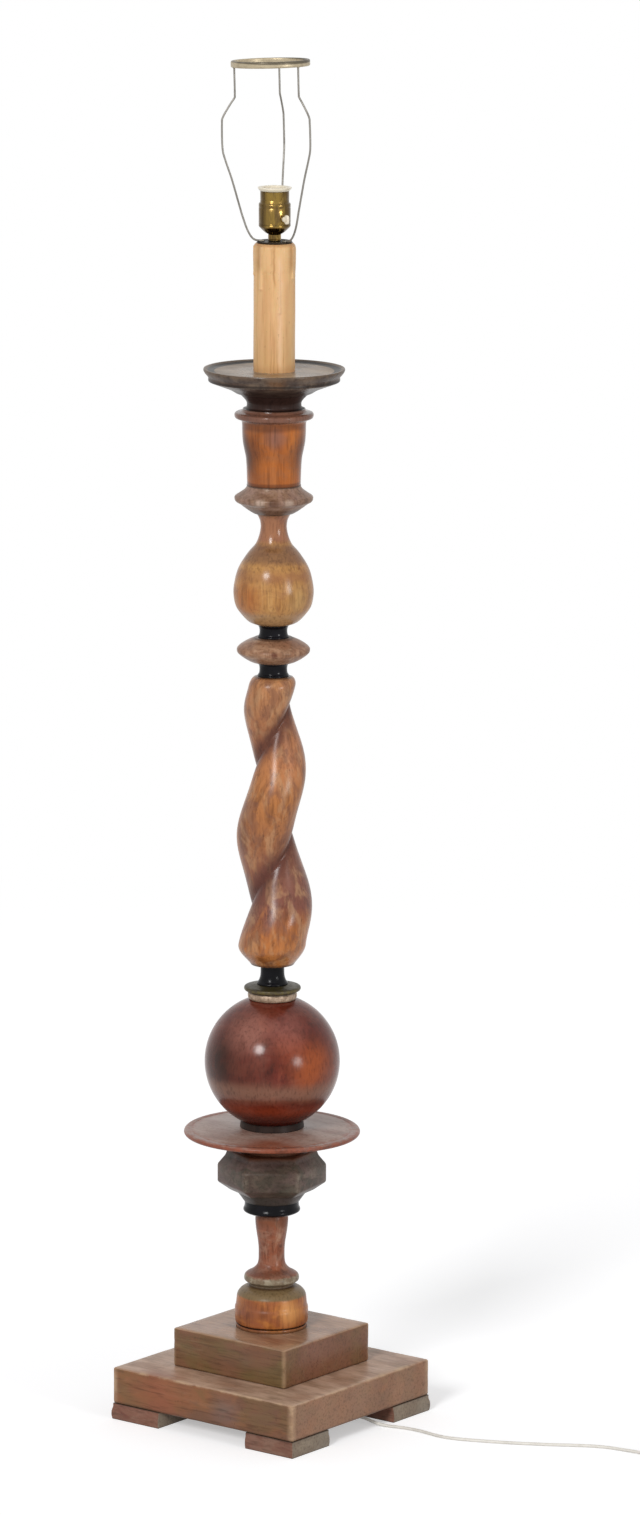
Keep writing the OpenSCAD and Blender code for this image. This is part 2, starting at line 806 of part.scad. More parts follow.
module carrier_ring() {
    w = ring_section_w;
    h = ring_section_h;
    color("#a08656") leaning()
        translate([0, 0, carrier_h - h]) rotate_extrude()
            translate([ring_mid_r - w/2, 0])
                polygon([[0.8, 0], [w - 0.8, 0], [w, 1.2], [w, h - 1.2],
                         [w - 1, h], [1, h], [0, h - 1.2], [0, 1.2]]);
}

// --------------------------------------------------------------- lamp tube

module lamp_tube() {
    color("#a9a396") translate([0, 0, z_tube_foot]) difference() {
        cylinder(d = tube_d, h = z_tube_head - z_tube_foot);
        translate([0, 0, -1])
            cylinder(r = tube_d/2 - tube_wall, h = z_tube_head - z_tube_foot + 2);
    }
}

module base_washer() {
    color("#9c9588") translate([0, 0, z_recess - washer_t]) difference() {
        cylinder(r = washer_r, h = washer_t, $fn = 48);
        translate([0, 0, -1]) cylinder(r = bore_r, h = washer_t + 2);
    }
}

module base_nut() {
    color("#a08a55") translate([0, 0, z_recess - washer_t - nut_h])
        hex_nut(nut_across, nut_h, tube_d/2 + 0.1);
}

// ------------------------------------------------------------- lamp holder

module holder_cap() {
    wall = 1.2;
    neck_r = 7.7;
    neck_h = 8;
    top_r = shell_r - shell_wall - 0.2;
    tongue = 4;
    color("#8a7444") translate([0, 0, z_holder]) difference() {
        rotate_extrude()
            polygon([[tube_d/2 + 0.1, 0], [neck_r, 0], [neck_r, neck_h],
                     [10.5, neck_h + 1.5], [15.6, neck_h + 6],
                     [shell_r - 0.5, cap_h - 2.5], [shell_r, cap_h - 1.5],
                     [shell_r, cap_h], [top_r, cap_h], [top_r, cap_h + tongue],
                     [top_r - wall + 0.4, cap_h + tongue],
                     [top_r - wall + 0.4, cap_h - 1],
                     [14.6, neck_h + 6.8], [9.5, neck_h + 3.2],
                     [tube_d/2 + 0.1, neck_h + 3]]);
    }
}

module key_way(r) {
    rotate([0, 0, key_angle]) translate([0, 0, z_key]) rotate([0, 90, 0])
        cylinder(r = r, h = shell_r + 10, $fn = 32);
}

module holder_shell() {
    low_in = shell_r - shell_wall;
    top_in = collar_shell_r - shell_wall;
    color("#8a7444") difference() {
        union() {
            rotate_extrude()
                polygon([[low_in, z_cap_top], [shell_r, z_cap_top],
                         [shell_r, z_shell_step - 2], [shell_r - 0.4, z_shell_step - 0.6],
                         [collar_shell_r, z_shell_step + 0.6],
                         [collar_shell_r, z_rim - rim_h], [top_in, z_rim - rim_h],
                         [top_in, z_shell_step - 0.6], [low_in, z_shell_step - 2]]);
            rotate([0, 0, key_angle]) translate([low_in + 0.3, 0, z_key])
                rotate([0, 90, 0]) cylinder(r = boss_r, h = boss_to - low_in - 0.3, $fn = 32);
        }
        key_way(spindle_r + 0.4);
    }
}

module holder_liner() {
    color("#d8cdb4") translate([0, 0, z_body_top]) difference() {
        cylinder(r = body_r, h = z_rim - rim_h - z_body_top - 0.3);
        translate([0, 0, -1]) cylinder(r = body_r - liner_wall, h = screw_shell_h + 2);
    }
}

cam_room_r = cam_r + 0.8;
terminal_at = [[9.5, 110], [9.5, 250]];

module holder_body() {
    color("#e6e1d6") difference() {
        union() {
            translate([0, 0, z_cap_top + 4.3])
                cylinder(r = shell_r - shell_wall - 0.3, h = body_flange_h);
            translate([0, 0, z_cap_top]) cylinder(r = body_r - 0.9, h = body_h - 2);
            translate([0, 0, z_cap_top + 5]) cylinder(r = body_r, h = body_h - 5);
        }
        key_way(spindle_bore_r);
        rotate([0, 0, key_angle]) translate([cam_from - 0.4, 0, z_key])
            rotate([0, 90, 0]) cylinder(r = cam_room_r, h = cam_len + 0.8, $fn = 48);
        rotate([0, 0, key_angle])
            translate([cam_from - 0.4, -cam_room_r, z_cap_top - 1])
                cube([cam_len + 0.8, 2*cam_room_r, z_key - z_cap_top + 1]);
        for (t = terminal_at) rotate([0, 0, t[1]])
            translate([t[0], 0, z_cap_top - 1]) cylinder(r = 1.7, h = 7, $fn = 32);
    }
}

// The shell widens to a skirt below its thread, clear of the centre contact.
skirt_h = 4;
skirt_step = 0.6;
skirt_lip = 1.2;

module screw_shell() {
    r = bulb_bore_d/2;
    w = screw_shell_wall;
    top = screw_shell_h - rim_h + 1;
    color("#b59c5e") translate([0, 0, z_body_top]) rotate_extrude()
        polygon([[r + skirt_step, 0], [r + skirt_step + skirt_lip, 0],
                 [r + skirt_step + skirt_lip, 0.8], [r + skirt_step + w, 0.8],
                 [r + skirt_step + w, skirt_h], [r + w, skirt_h + 1.2],
                 [r + w, top], [r, top], [r, skirt_h + 0.4],
                 [r + skirt_step, skirt_h - 0.6]]);
}

// The sprung tongue that meets the bulb's foot, rooted at one side.
contact_root = 8.5;
contact_w = 5;
contact_t = 0.5;
contact_rise = 3.2;

module centre_contact() {
    color("#c0a660") translate([0, 0, z_body_top + 0.2]) rotate([90, 0, 0])
        translate([0, 0, -contact_w/2]) linear_extrude(contact_w)
            polygon([[-contact_root - 2, 0], [-contact_root, 0],
                     [-2.5, contact_rise - contact_t], [2.5, contact_rise - contact_t],
                     [3.5, contact_rise - contact_t - 0.6],
                     [3.5, contact_rise - 0.6], [2.5, contact_rise],
                     [-2.5, contact_rise], [-contact_root, contact_t],
                     [-contact_root - 2, contact_t]]);
}

module terminal_screws() {
    color("#b8b2a4") for (t = terminal_at) rotate([0, 0, t[1]])
        translate([t[0], 0, z_cap_top - 1.2]) {
            cylinder(r = 2.4, h = 1.2, $fn = 32);
            cylinder(r = 1.5, h = 6, $fn = 32);
        }
}

module holder_rim() {
    outer = collar_shell_r + 3;
    inner = bulb_bore_d/2 + screw_shell_wall + 0.25;
    skirt = body_r - liner_wall - 0.2;
    color("#efe6d2") translate([0, 0, z_rim - rim_h]) rotate_extrude()
        polygon([[inner, -3], [skirt, -3], [skirt, 0], [collar_shell_r, 0],
                 [outer - 0.3, rim_h*0.6], [outer, rim_h*0.85], [outer - 0.4, rim_h],
                 [inner + 1.2, rim_h], [inner, rim_h - 1]]);
}

module key_spindle() {
    color("#8a7444") rotate([0, 0, key_angle])
        translate([spindle_from, 0, z_key]) rotate([0, 90, 0])
            cylinder(r = spindle_r, h = spindle_to - spindle_from, $fn = 32);
}

module switch_cam() {
    color("#5a4434") rotate([0, 0, key_angle]) translate([cam_from, 0, z_key])
        rotate([0, 90, 0]) difference() {
            union() {
                cylinder(r = cam_r - 0.8, h = cam_len, $fn = 32);
                for (s = [-1, 1]) translate([-1, s*(cam_r - 1.4) - 1, 0])
                    cube([2, 2, cam_len]);
            }
            translate([0, 0, -1]) cylinder(r = spindle_r, h = cam_len + 2, $fn = 32);
        }
}

module switch_key() {
    half = paddle_w/2;
    color("#e9dfc8") rotate([0, 0, key_angle]) translate([paddle_from, 0, z_key])
        difference() {
            union() {
                rotate([0, 90, 0]) cylinder(r = 3, h = 3, $fn = 32);
                rotate([90, 0, 0]) translate([0, 0, -paddle_t/2])
                    linear_extrude(paddle_t)
                        polygon([[1.5, -2.6], [4, -half], [key_length - 2, -half],
                                 [key_length, -half + 2], [key_length, half - 2],
                                 [key_length - 2, half], [4, half], [1.5, 2.6]]);
            }
            rotate([0, 90, 0]) translate([0, 0, -1])
                cylinder(r = spindle_r, h = spindle_to - paddle_from + 1, $fn = 32);
        }
}

// -------------------------------------------------------------- held cord

held_top = z_holder + 12;
held_bend = 20;
function towards(r, z) = [r*cos(exit_angle), r*sin(exit_angle), z];

held_route = concat(
    [[0, 0, held_top], [0, 0, held_top - 8], [0, 0, z_twist + twist_h],
     [0, 0, z_twist], [0, 0, z_stem], [0, 0, cord_z + held_bend + 6]],
    [for (a = [0 : 15 : 90])
        towards(held_bend*(1 - cos(a)), cord_z + held_bend*(1 - sin(a)))],
    [towards(clamp_from - 20, cord_z), towards(exit_reach, cord_z)]
);

module held_cord() {
    color("#e8e4da") tube_along(held_route, cord_r, 8);
}

module core_wires() {
    core_r = 0.9;
    apart = core_r + 0.15;
    color("#7a6a58") for (t = terminal_at)
        tube_along([for (p = [[apart, held_top + 0.3], [apart, held_top + 1.5],
                              [t[0]*0.7, z_cap_top - 4.2], [t[0], z_cap_top - 3.2],
                              [t[0], z_cap_top - 1.5]])
                    [p[0]*cos(t[1]), p[0]*sin(t[1]), p[1]]], core_r, 8);
}

// ------------------------------------------------- clamp and strain relief

clamp_screw_len = 22;
z_clamp_foot = 5;
clamp_top = z_lower;
clamp_screw_at = [
    for (s = [-1, 1])
        let (r = clamp_from + clamp_len/2, y = s*(clamp_w/2 - 5))
        [r*cos(exit_angle) - y*sin(exit_angle), r*sin(exit_angle) + y*cos(exit_angle)]
];

module cord_clamp() {
    color("#2b2a2b") difference() {
        rotate([0, 0, exit_angle]) translate([clamp_from, -clamp_w/2, z_clamp_foot - 1])
            cube([clamp_len, clamp_w, clamp_top - z_clamp_foot + 1]);
        rotate([0, 0, exit_angle]) translate([clamp_from - 1, 0, cord_z])
            rotate([0, 90, 0]) cylinder(r = cord_r + 0.1, h = clamp_len + 2, $fn = 32);
        for (p = clamp_screw_at)
            translate([p[0], p[1], z_clamp_foot]) screw_hole(clamp_screw_len);
    }
}

module clamp_screws() {
    color("#8f8a80") for (p = clamp_screw_at)
        translate([p[0], p[1], z_clamp_foot]) wood_screw(clamp_screw_len);
}

module strain_relief() {
    color("#2b2a2b") rotate([0, 0, exit_angle]) translate([relief_from, 0, cord_z])
        rotate([0, 90, 0]) difference() {
            cylinder(r1 = cord_r + 2.6, r2 = cord_r + 0.8, h = relief_len, $fn = 32);
            translate([0, 0, -1]) cylinder(r = cord_r + 0.1, h = relief_len + 2, $fn = 32);
        }
}

// -------------------------------------------------------------- free cord

module cord_run() {
    color("#e8e4da") tube_along(spline(run_points, 2), cord_r, 8);
}

module cord_tail() {
    color("#e8e4da") tube_along(tail_points, cord_r, 8);
}

// The coil winds in and out in layers. Each climb takes half a turn.
layer_step = cord_d + coil_gap;
turns_per_layer = coil_turns/coil_layers;

// How far in the wound cord lies after t turns, and how high.
function coil_in(t) =
    let (layer = min(floor(t/turns_per_layer), coil_layers - 1),
         part = t - layer*turns_per_layer)
    layer_step*(layer % 2 == 0 ? part : turns_per_layer - part);

function coil_up(t) =
    let (layer = min(floor(t/turns_per_layer), coil_layers - 1),
         part = t - layer*turns_per_layer,
         climb = layer == 0 ? 1 : sqrt(1 - pow(max(0, 1 - 2*part), 2)))
    layer_step*(layer == 0 ? 0 : layer - 1 + climb);

function coil_point(t) =
    let (r = coil_r - coil_in(t), a = -90 + 360*t)
    [coil_mid[0] + r*cos(a), coil_mid[1] + r*sin(a),
     coil_floor + cord_r + coil_up(t)];

coil_wound = [
    for (i = [0 : coil_turns*coil_steps]) coil_point(i/coil_steps)
];
coil_path = concat(
    [coil_wound[0] - [cord_d, 0, 0]], coil_wound,
    [coil_wound[coil_turns*coil_steps] + [cord_d, 0, 0]]
);

// The least distance between points of the coil that are half a turn or more
// apart along it, less the cord's diameter.
coil_near = min([
    for (i = [0 : coil_steps*coil_turns - coil_steps/2 - 1])
        min([for (j = [i + coil_steps/2 : coil_steps*coil_turns])
            norm(coil_wound[i] - coil_wound[j])])
]) - cord_d;
echo(coil_self_gap = coil_near);

module cord_coil() {
    color("#e8e4da") tube_along(coil_path, cord_r, coil_sides);
}

tie_angle = 60;
tie_t = 0.8;
tie_w = 9;

module coil_tie() {
    slack = 0.6;
    inner = turns_per_layer*layer_step + cord_d + slack;
    tall = (coil_layers - 1)*layer_step + cord_d + 0.5;
    r_mid = coil_r - turns_per_layer*layer_step/2;
    color("#3a3a3c") translate([coil_mid[0], coil_mid[1], 0])
        rotate([0, 0, tie_angle]) translate([r_mid, 0, tall/2 + tie_t])
            rotate([90, 0, 0]) translate([0, 0, -tie_w/2]) linear_extrude(tie_w)
                difference() {
                    square([inner + 2*tie_t, tall + 2*tie_t], center = true);
                    square([inner, tall], center = true);
                }
}

// ------------------------------------------------------------------- plug

plug_at = [543, 176, 6.5];
plug_len = 36;
plug_boot = 12;

module plug_body() {
    color("#e8e4da") translate(plug_at) rotate([-90, 0, 0]) difference() {
        union() {
            cylinder(r1 = cord_r + 1, r2 = 5.2, h = plug_boot, $fn = 32);
            translate([0, 0, plug_boot - 2]) hull() for (s = [-1, 1]) {
                translate([s*5, 0, 0]) cylinder(r = 5.6, h = 4, $fn = 32);
                translate([s*10.5, 0, plug_len - plug_boot - 4])
                    cylinder(r = 6.2, h = 6, $fn = 32);
            }
        }
        for (s = [-1, 1]) translate([s*9.5, 0, plug_len - 8])
            cylinder(r = 2.05, h = 12, $fn = 32);
    }
}

module plug_pins() {
    color("#c9c6bf") translate(plug_at) rotate([-90, 0, 0])
        for (s = [-1, 1]) translate([s*9.5, 0, plug_len - 8]) {
            cylinder(r = 2, h = 25, $fn = 32);
            translate([0, 0, 25]) cylinder(r1 = 2, r2 = 1.2, h = 2, $fn = 32);
        }
}

// ------------------------------------------------------------------ output

foot(-1, -1);  // foot_front_left
foot(1, -1);  // foot_front_right
foot(1, 1);  // foot_back_right
foot(-1, 1);  // foot_back_left
foot_screws();
plinth_lower();
plinth_upper();
plinth_screws();
base_drum();
base_stem();
low_collar();
hex_knop();
wide_disc();
ball_seat();
ball();
gilt_ring();
black_collar(z_collar_low, collar_foot_h, waisted_shape);  // twist_collar_low
twist_column();
black_collar(z_collar_high, collar_top_h);  // twist_collar_high
flat_bead();
black_collar(z_pear_collar, pear_collar_h);  // pear_collar
pear();
cup_ring();
candle_cup();
pan_neck();
drip_pan();
pan_washer();
pan_nut();
candle_sleeve();
carrier_plate();
carrier_wire(0);  // carrier_wire_left
carrier_wire(1);  // carrier_wire_right
carrier_wire(2);  // carrier_wire_back
carrier_ring();
lamp_tube();
base_washer();
base_nut();
holder_cap();
holder_shell();
holder_liner();
holder_body();
screw_shell();
centre_contact();
terminal_screws();
holder_rim();
key_spindle();
switch_key();
switch_cam();
core_wires();
held_cord();
cord_clamp();
clamp_screws();
strain_relief();
cord_run();
cord_coil();
cord_tail();
coil_tie();
plug_body();
plug_pins();
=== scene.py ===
import math

import bpy
from mathutils import Matrix, Vector, noise


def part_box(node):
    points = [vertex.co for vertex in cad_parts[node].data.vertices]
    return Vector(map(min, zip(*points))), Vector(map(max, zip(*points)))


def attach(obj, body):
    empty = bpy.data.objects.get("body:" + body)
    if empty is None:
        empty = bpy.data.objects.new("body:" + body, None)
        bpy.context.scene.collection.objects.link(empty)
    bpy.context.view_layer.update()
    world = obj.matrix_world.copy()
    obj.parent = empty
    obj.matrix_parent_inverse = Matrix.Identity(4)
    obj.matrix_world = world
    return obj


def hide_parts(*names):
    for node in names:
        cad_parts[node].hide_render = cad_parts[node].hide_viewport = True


bl_info = {
    "name": "Candlestick floor lamp",
    "version": (1, 0, 0),
    "blender": (4, 5, 0),
    "location": "View3D > Sidebar > Lamp",
    "description": "Builds the looks of a turned floor lamp piece by piece",
    "category": "Add Mesh",
}

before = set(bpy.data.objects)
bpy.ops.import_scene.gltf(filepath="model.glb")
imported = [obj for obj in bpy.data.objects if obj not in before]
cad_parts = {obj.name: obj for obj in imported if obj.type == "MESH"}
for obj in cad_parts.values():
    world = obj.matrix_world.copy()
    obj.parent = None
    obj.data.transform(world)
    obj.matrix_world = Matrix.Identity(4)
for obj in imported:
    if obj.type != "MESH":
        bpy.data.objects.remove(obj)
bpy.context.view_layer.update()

MM = 0.001
WHITE = (1, 1, 1, 1)
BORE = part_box("lamp_tube")[1].x + 0.3*MM

# Across the picture to the right, and from the lamp towards the viewer.
TURN = math.radians(38.246)
RIGHT = Vector((math.cos(TURN), math.sin(TURN), 0))
NEAR = Vector((math.sin(TURN), -math.cos(TURN), 0))


def tint(colour):
    """A colour in linear light. It may be written as a hex code."""
    if not isinstance(colour, str):
        return tuple(colour)
    parts = [int(colour[i:i + 2], 16)/255 for i in (0, 2, 4)]
    return tuple(c/12.92 if c <= 0.04045 else ((c + 0.055)/1.055)**2.4
                 for c in parts) + (1.0,)


def reach(node):
    """The radius, foot and head of a round piece that stands on the axis."""
    low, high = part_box(node)
    return (high.x - low.x)/2, low.z, high.z


def spline(points, n=5):
    """A smooth curve through given points, n steps between them."""
    curve = []
    for i in range(len(points) - 1):
        a, b = points[max(i - 1, 0)], points[i]
        c, d = points[i + 1], points[min(i + 2, len(points) - 1)]
        for k in range(n):
            t = k/n
            curve.append(tuple(
                0.5*(2*q + (r - p)*t + (2*p - 5*q + 4*r - s)*t*t
                     + (3*q - p - 3*r + s)*t**3)
                for p, q, r, s in zip(a, b, c, d)))
    curve.append(tuple(points[-1]))
    return curve


# Half outlines of the turned pieces, as shares of their radius and height.
DRUM = [(0.97, 0), (0.97, 0.07), (0.925, 0.09), (0.925, 0.105), (0.985, 0.13),
        (1, 0.26), (1, 0.46), (0.97, 0.56), (0.955, 0.68), (0.93, 0.8),
        (0.84, 0.9), (0.7, 0.965), (0.6, 1)]
STEM = [(0.8, 0), (0.81, 0.025), (0.88, 0.045), (0.98, 0.07), (1, 0.1),
        (0.98, 0.14), (0.9, 0.17), (0.69, 0.215), (0.53, 0.28), (0.48, 0.35),
        (0.472, 0.43), (0.475, 0.52), (0.5, 0.62), (0.55, 0.74), (0.585, 0.84),
        (0.6, 0.93), (0.58, 1)]
LOW_COLLAR = [(0.68, 0), (0.82, 0.08), (0.98, 0.24), (1, 0.4), (0.96, 0.62),
              (0.95, 1)]
GILT = [(0.8, 0), (0.84, 0.06), (0.87, 0.2), (0.87, 0.36), (0.84, 0.47),
        (0.85, 0.53), (0.96, 0.6), (1, 0.68), (1, 0.8), (0.95, 0.88),
        (0.75, 0.94), (0.62, 1)]
COLLAR = [(1, 0), (1, 0.1), (0.93, 0.22), (0.9, 0.4), (0.9, 0.62), (0.94, 0.8),
          (1, 0.92), (1, 1)]
WAISTED = [(1, 0), (1, 0.08), (0.88, 0.2), (0.79, 0.42), (0.77, 0.7),
           (0.78, 0.88), (0.84, 1)]
BEAD = [(0.54, 0), (0.64, 0.05), (0.82, 0.2), (0.97, 0.38), (1, 0.5),
        (0.98, 0.6), (0.89, 0.72), (0.72, 0.87), (0.56, 0.97), (0.52, 1)]
PEAR = [(0.44, 0), (0.63, 0.03), (0.83, 0.105), (0.95, 0.175), (1, 0.275),
        (0.985, 0.36), (0.92, 0.465), (0.83, 0.54), (0.695, 0.615),
        (0.59, 0.665), (0.455, 0.72), (0.375, 0.785), (0.333, 0.85),
        (0.328, 0.9), (0.36, 0.95), (0.44, 1)]
CUP_RING = [(0.52, 0), (0.64, 0.1), (0.78, 0.24), (0.86, 0.33), (0.97, 0.42),
            (1, 0.52), (0.985, 0.6), (0.88, 0.7), (0.75, 0.83), (0.69, 0.94),
            (0.69, 1)]
CUP = [(0.68, 0), (0.685, 0.1), (0.695, 0.25), (0.715, 0.37), (0.755, 0.47),
       (0.79, 0.57), (0.805, 0.68), (0.81, 0.79), (0.82, 0.83), (0.86, 0.855),
       (0.97, 0.875), (1, 0.9), (1, 0.93), (0.96, 0.95), (0.83, 0.968),
       (0.79, 1)]
PAN_NECK = [(1.12, 0), (1.03, 0.08), (1, 0.25), (1.02, 0.45), (1.12, 0.68),
            (1.24, 0.88), (1.32, 1)]
PAN = [(0.545, 0), (0.64, 0.16), (0.79, 0.33), (0.9, 0.45), (0.93, 0.5),
       (0.93, 0.64), (0.945, 0.7), (0.98, 0.82), (1, 0.93), (0.995, 1)]
KNOP_TURN = 8
KNOP = [(0.75, 0.144), (1, 0.278), (1, 0.546), (0.86, 0.68), (0.82, 0.762)]
FOOT_MOULDING = [(0.4, 0), (0.6, 0.08), (0.95, 0.22), (1, 0.38), (0.85, 0.55),
                 (0.35, 0.7), (0, 0.8), (0, 1)]


# ------------------------------------------------------- sizes and colours

def distance(name, description, default, low, high):
    return bpy.props.FloatProperty(
        name=name, description=description, default=default, min=low, max=high,
        subtype="DISTANCE", unit="LENGTH", precision=4)


def paint(name, description, code):
    return bpy.props.FloatVectorProperty(
        name=name, description=description, default=tint(code), size=4, min=0,
        max=1, subtype="COLOR")


class LampSizes(bpy.types.PropertyGroup):
    """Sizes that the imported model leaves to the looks."""
    worn_edge: distance("Worn edge", "Rounding of the plinth's worn edges",
                        2.5*MM, 0.5*MM, 6*MM)
    dents: distance("Dents", "How deep the plinth's edges are dented",
                    0.7*MM, 0, 2*MM)
    groove_depth: distance("Groove depth", "Depth of the carved groove",
                           7*MM, 3*MM, 12*MM)
    pitch_top: distance("Pitch at the top", "Rise of the twist's first turn",
                        143*MM, 80*MM, 300*MM)
    pitch_foot: distance("Pitch at the foot", "Rise of the twist's last turn",
                         192*MM, 80*MM, 400*MM)
    wax_lip: distance("Wax lip", "How far the wax stands out at the top",
                      0.7*MM, 0, 2*MM)
    wire_width: distance("Wire", "Diameter of the shade carrier's wires",
                         2.4*MM, 1.5*MM, 4*MM)
    cord_width: distance("Cord", "Diameter of the mains cord",
                         4*MM, 3*MM, 6*MM)


class LampColours(bpy.types.PropertyGroup):
    """Main colours of the finishes."""
    plinth: paint("Plinth", "Worn brown of the two plinths", "7a5238")
    feet: paint("Feet", "Dusty grey brown of the feet", "75604e")
    drum: paint("Drum", "Orange varnish of the drum", "a0602f")
    stem: paint("Stem", "Red brown of the stem", "7d4c38")
    knop: paint("Knop", "Grey brown of the six-sided knop", "4c3f36")
    disc: paint("Disc", "Rose brown of the wide disc", "7b4534")
    ball: paint("Ball", "Dark red varnish of the ball", "64261a")
    gilt: paint("Gilt", "Rubbed gilt of the ring over the ball", "5e532e")
    black: paint("Black", "Lacquer of the small collars", "0d0d10")
    twist: paint("Twist", "Golden brown of the twisted column", "a86c3c")
    tan: paint("Tan", "Golden tan of the pear and the bead", "b38249")
    cup: paint("Cup", "Orange brown of the candle cup", "b86828")
    ring: paint("Ring", "Greyish brown of the ring under the cup", "8f705a")
    pan: paint("Pan", "Dark brown of the drip pan", "4a3b33")
    wax: paint("Wax", "Tan of the candle sleeve", "dcb17c")
    brass: paint("Brass", "Aged brass of the lamp holder", "94793f")
    ivory: paint("Ivory", "Cream of the holder's rim and key", "ece2cc")
    cord: paint("Cord", "Pale grey of the cord and plug", "dcd8d0")


def sizes():
    return bpy.context.scene.lamp_sizes


def colours():
    return bpy.context.scene.lamp_colours


# ------------------------------------------------------------- modelling

def rest():
    """Leaves edit mode and lets go of everything."""
    if bpy.context.mode != "OBJECT":
        bpy.ops.object.mode_set(mode="OBJECT")
    bpy.ops.object.select_all(action="DESELECT")


def pick(piece):
    rest()
    piece.select_set(True)
    bpy.context.view_layer.objects.active = piece


def edit(kind="VERT", whole=True):
    """Starts editing the active mesh, with all of it selected if whole."""
    bpy.ops.object.mode_set(mode="EDIT")
    bpy.ops.mesh.select_mode(type=kind)
    if whole:
        bpy.ops.mesh.select_all(action="SELECT")


def done():
    bpy.ops.object.mode_set(mode="OBJECT")


def pull(x, y, z):
    """Extrudes what is selected and moves the new end."""
    bpy.ops.mesh.extrude_region_move(
        TRANSFORM_OT_translate={"value": (x, y, z)})


def named(name):
    """Names the new object and puts its place into its mesh."""
    piece = bpy.context.object
    piece.name = name
    piece.data.name = name
    bpy.ops.object.transform_apply(location=True, rotation=True, scale=True)
    return piece


def modified(piece, kind, **settings):
    """Adds a modifier, sets it and applies it."""
    pick(piece)
    bpy.ops.object.modifier_add(type=kind)
    modifier = piece.modifiers[-1]
    for key, value in settings.items():
        setattr(modifier, key, value)
    bpy.ops.object.modifier_apply(modifier=modifier.name)
    return piece


def bevelled(piece, width, segments, angle=30):
    """Rounds the edges that turn by more than an angle in degrees."""
    return modified(piece, "BEVEL", width=width, segments=segments,
                    limit_method="ANGLE", angle_limit=math.radians(angle))


def cut(piece, *cutters, operation="DIFFERENCE"):
    """Cuts the cutters out of a piece, or joins them to it, and drops them."""
    for cutter in cutters:
        modified(piece, "BOOLEAN", operation=operation, solver="EXACT",
                 object=cutter)
        bpy.data.objects.remove(cutter)
    return piece


def rod(radius, low, high, sides=32):
    """An upright round rod between two heights, used as a cutter."""
    rest()
    bpy.ops.mesh.primitive_cone_add(
        vertices=sides, radius1=radius, radius2=radius, depth=high - low,
        location=(0, 0, (low + high)/2))
    return named("rod")


def lying_rod(radius, start, end, angle, height, name="rod", sides=32):
    """A level round rod that points away from the axis at an angle."""
    rest()
    mid = (start + end)/2
    bpy.ops.mesh.primitive_cylinder_add(
        vertices=sides, radius=radius, depth=end - start,
        location=(mid*math.cos(angle), mid*math.sin(angle), height),
        rotation=(0, math.pi/2, angle))
    return named(name)


def soft(piece, angle=35):
    pick(piece)
    bpy.ops.object.shade_smooth_by_angle(angle=math.radians(angle))
    return piece


def cleaned(piece, merge=2e-5):
    """Merges doubled points and turns every face outwards."""
    pick(piece)
    edit()
    bpy.ops.mesh.remove_doubles(threshold=merge)
    bpy.ops.mesh.normals_make_consistent(inside=False)
    done()
    return piece


def lathe(name, outline, sides=96, angle=35):
    """Draws a closed half section point by point and spins it round Z."""
    rest()
    r, z = outline[0]
    bpy.ops.mesh.primitive_plane_add(size=MM, location=(r, 0, z))
    piece = named(name)
    edit()
    bpy.ops.mesh.merge(type="CENTER")
    for (r0, z0), (r1, z1) in zip(outline, outline[1:] + outline[:1]):
        pull(r1 - r0, 0, z1 - z0)
    bpy.ops.mesh.select_all(action="SELECT")
    bpy.ops.mesh.remove_doubles(threshold=2e-5)
    bpy.ops.mesh.spin(steps=sides, angle=2*math.pi, center=(0, 0, 0),
                      axis=(0, 0, 1))
    done()
    return soft(cleaned(piece), angle)


def turned(node, name, shape, sides=96):
    """A turned piece over its bore, as large as the node it stands for."""
    r, low, high = reach(node)
    widest = max(p[0] for p in shape)
    curve = [(p[0]/widest*r, low + p[1]*(high - low)) for p in spline(shape)]
    return lathe(name, [(BORE, low)] + curve + [(BORE, high)], sides)


def blank(name, radius, bore, low, high, rows, sides, both=False):
    """A bored cylinder in level rows, to be carved. Both walls have the rows
    where both is set, otherwise the outer one alone."""
    levels = [low + (high - low)*i/rows for i in range(rows + 1)]
    inside = levels if both else [low, high]
    return lathe(name, [(radius, z) for z in levels]
                 + [(bore, z) for z in reversed(inside)], sides)


def swept(name, path, radius):
    """A round tube with closed ends along a list of points, as a curve."""
    curve = bpy.data.curves.new(name, "CURVE")
    curve.dimensions = "3D"
    curve.bevel_depth = radius
    curve.bevel_resolution = 2
    curve.use_fill_caps = True
    line = curve.splines.new("POLY")
    line.points.add(len(path) - 1)
    for point, co in zip(line.points, path):
        point.co = (*co, 1)
    piece = bpy.data.objects.new(name, curve)
    bpy.context.collection.objects.link(piece)
    return piece


def to_mesh(piece):
    pick(piece)
    bpy.ops.object.convert(target="MESH")
    return soft(cleaned(bpy.context.object, 5e-6), 50)


def joined(first, *others):
    pick(first)
    for other in others:
        other.select_set(True)
    bpy.ops.object.join()
    return first


def settle(piece, body, finish, slot, *nodes):
    """Gives a piece its finish and its body, and hides the nodes that it
    stands for.
    """
    piece.data.materials.clear()
    piece.data.materials.append(finish)
    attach(piece, body)
    if nodes:
        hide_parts(*nodes)
    return piece


def dress(finish, *nodes):
    """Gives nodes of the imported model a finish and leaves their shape."""
    for node in nodes:
        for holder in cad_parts[node].material_slots:
            holder.material = finish


def viewed(right, near, height):
    """A point by how far right of the axis and how near it is seen."""
    return RIGHT*right + NEAR*near + Vector((0, 0, height))


def facing(across, height, radius):
    """A point on a round piece, by how far right and how high it is seen."""
    across = max(-radius, min(radius, across))
    return viewed(across, math.sqrt(radius**2 - across**2), height)


# -------------------------------------------------------------- finishes

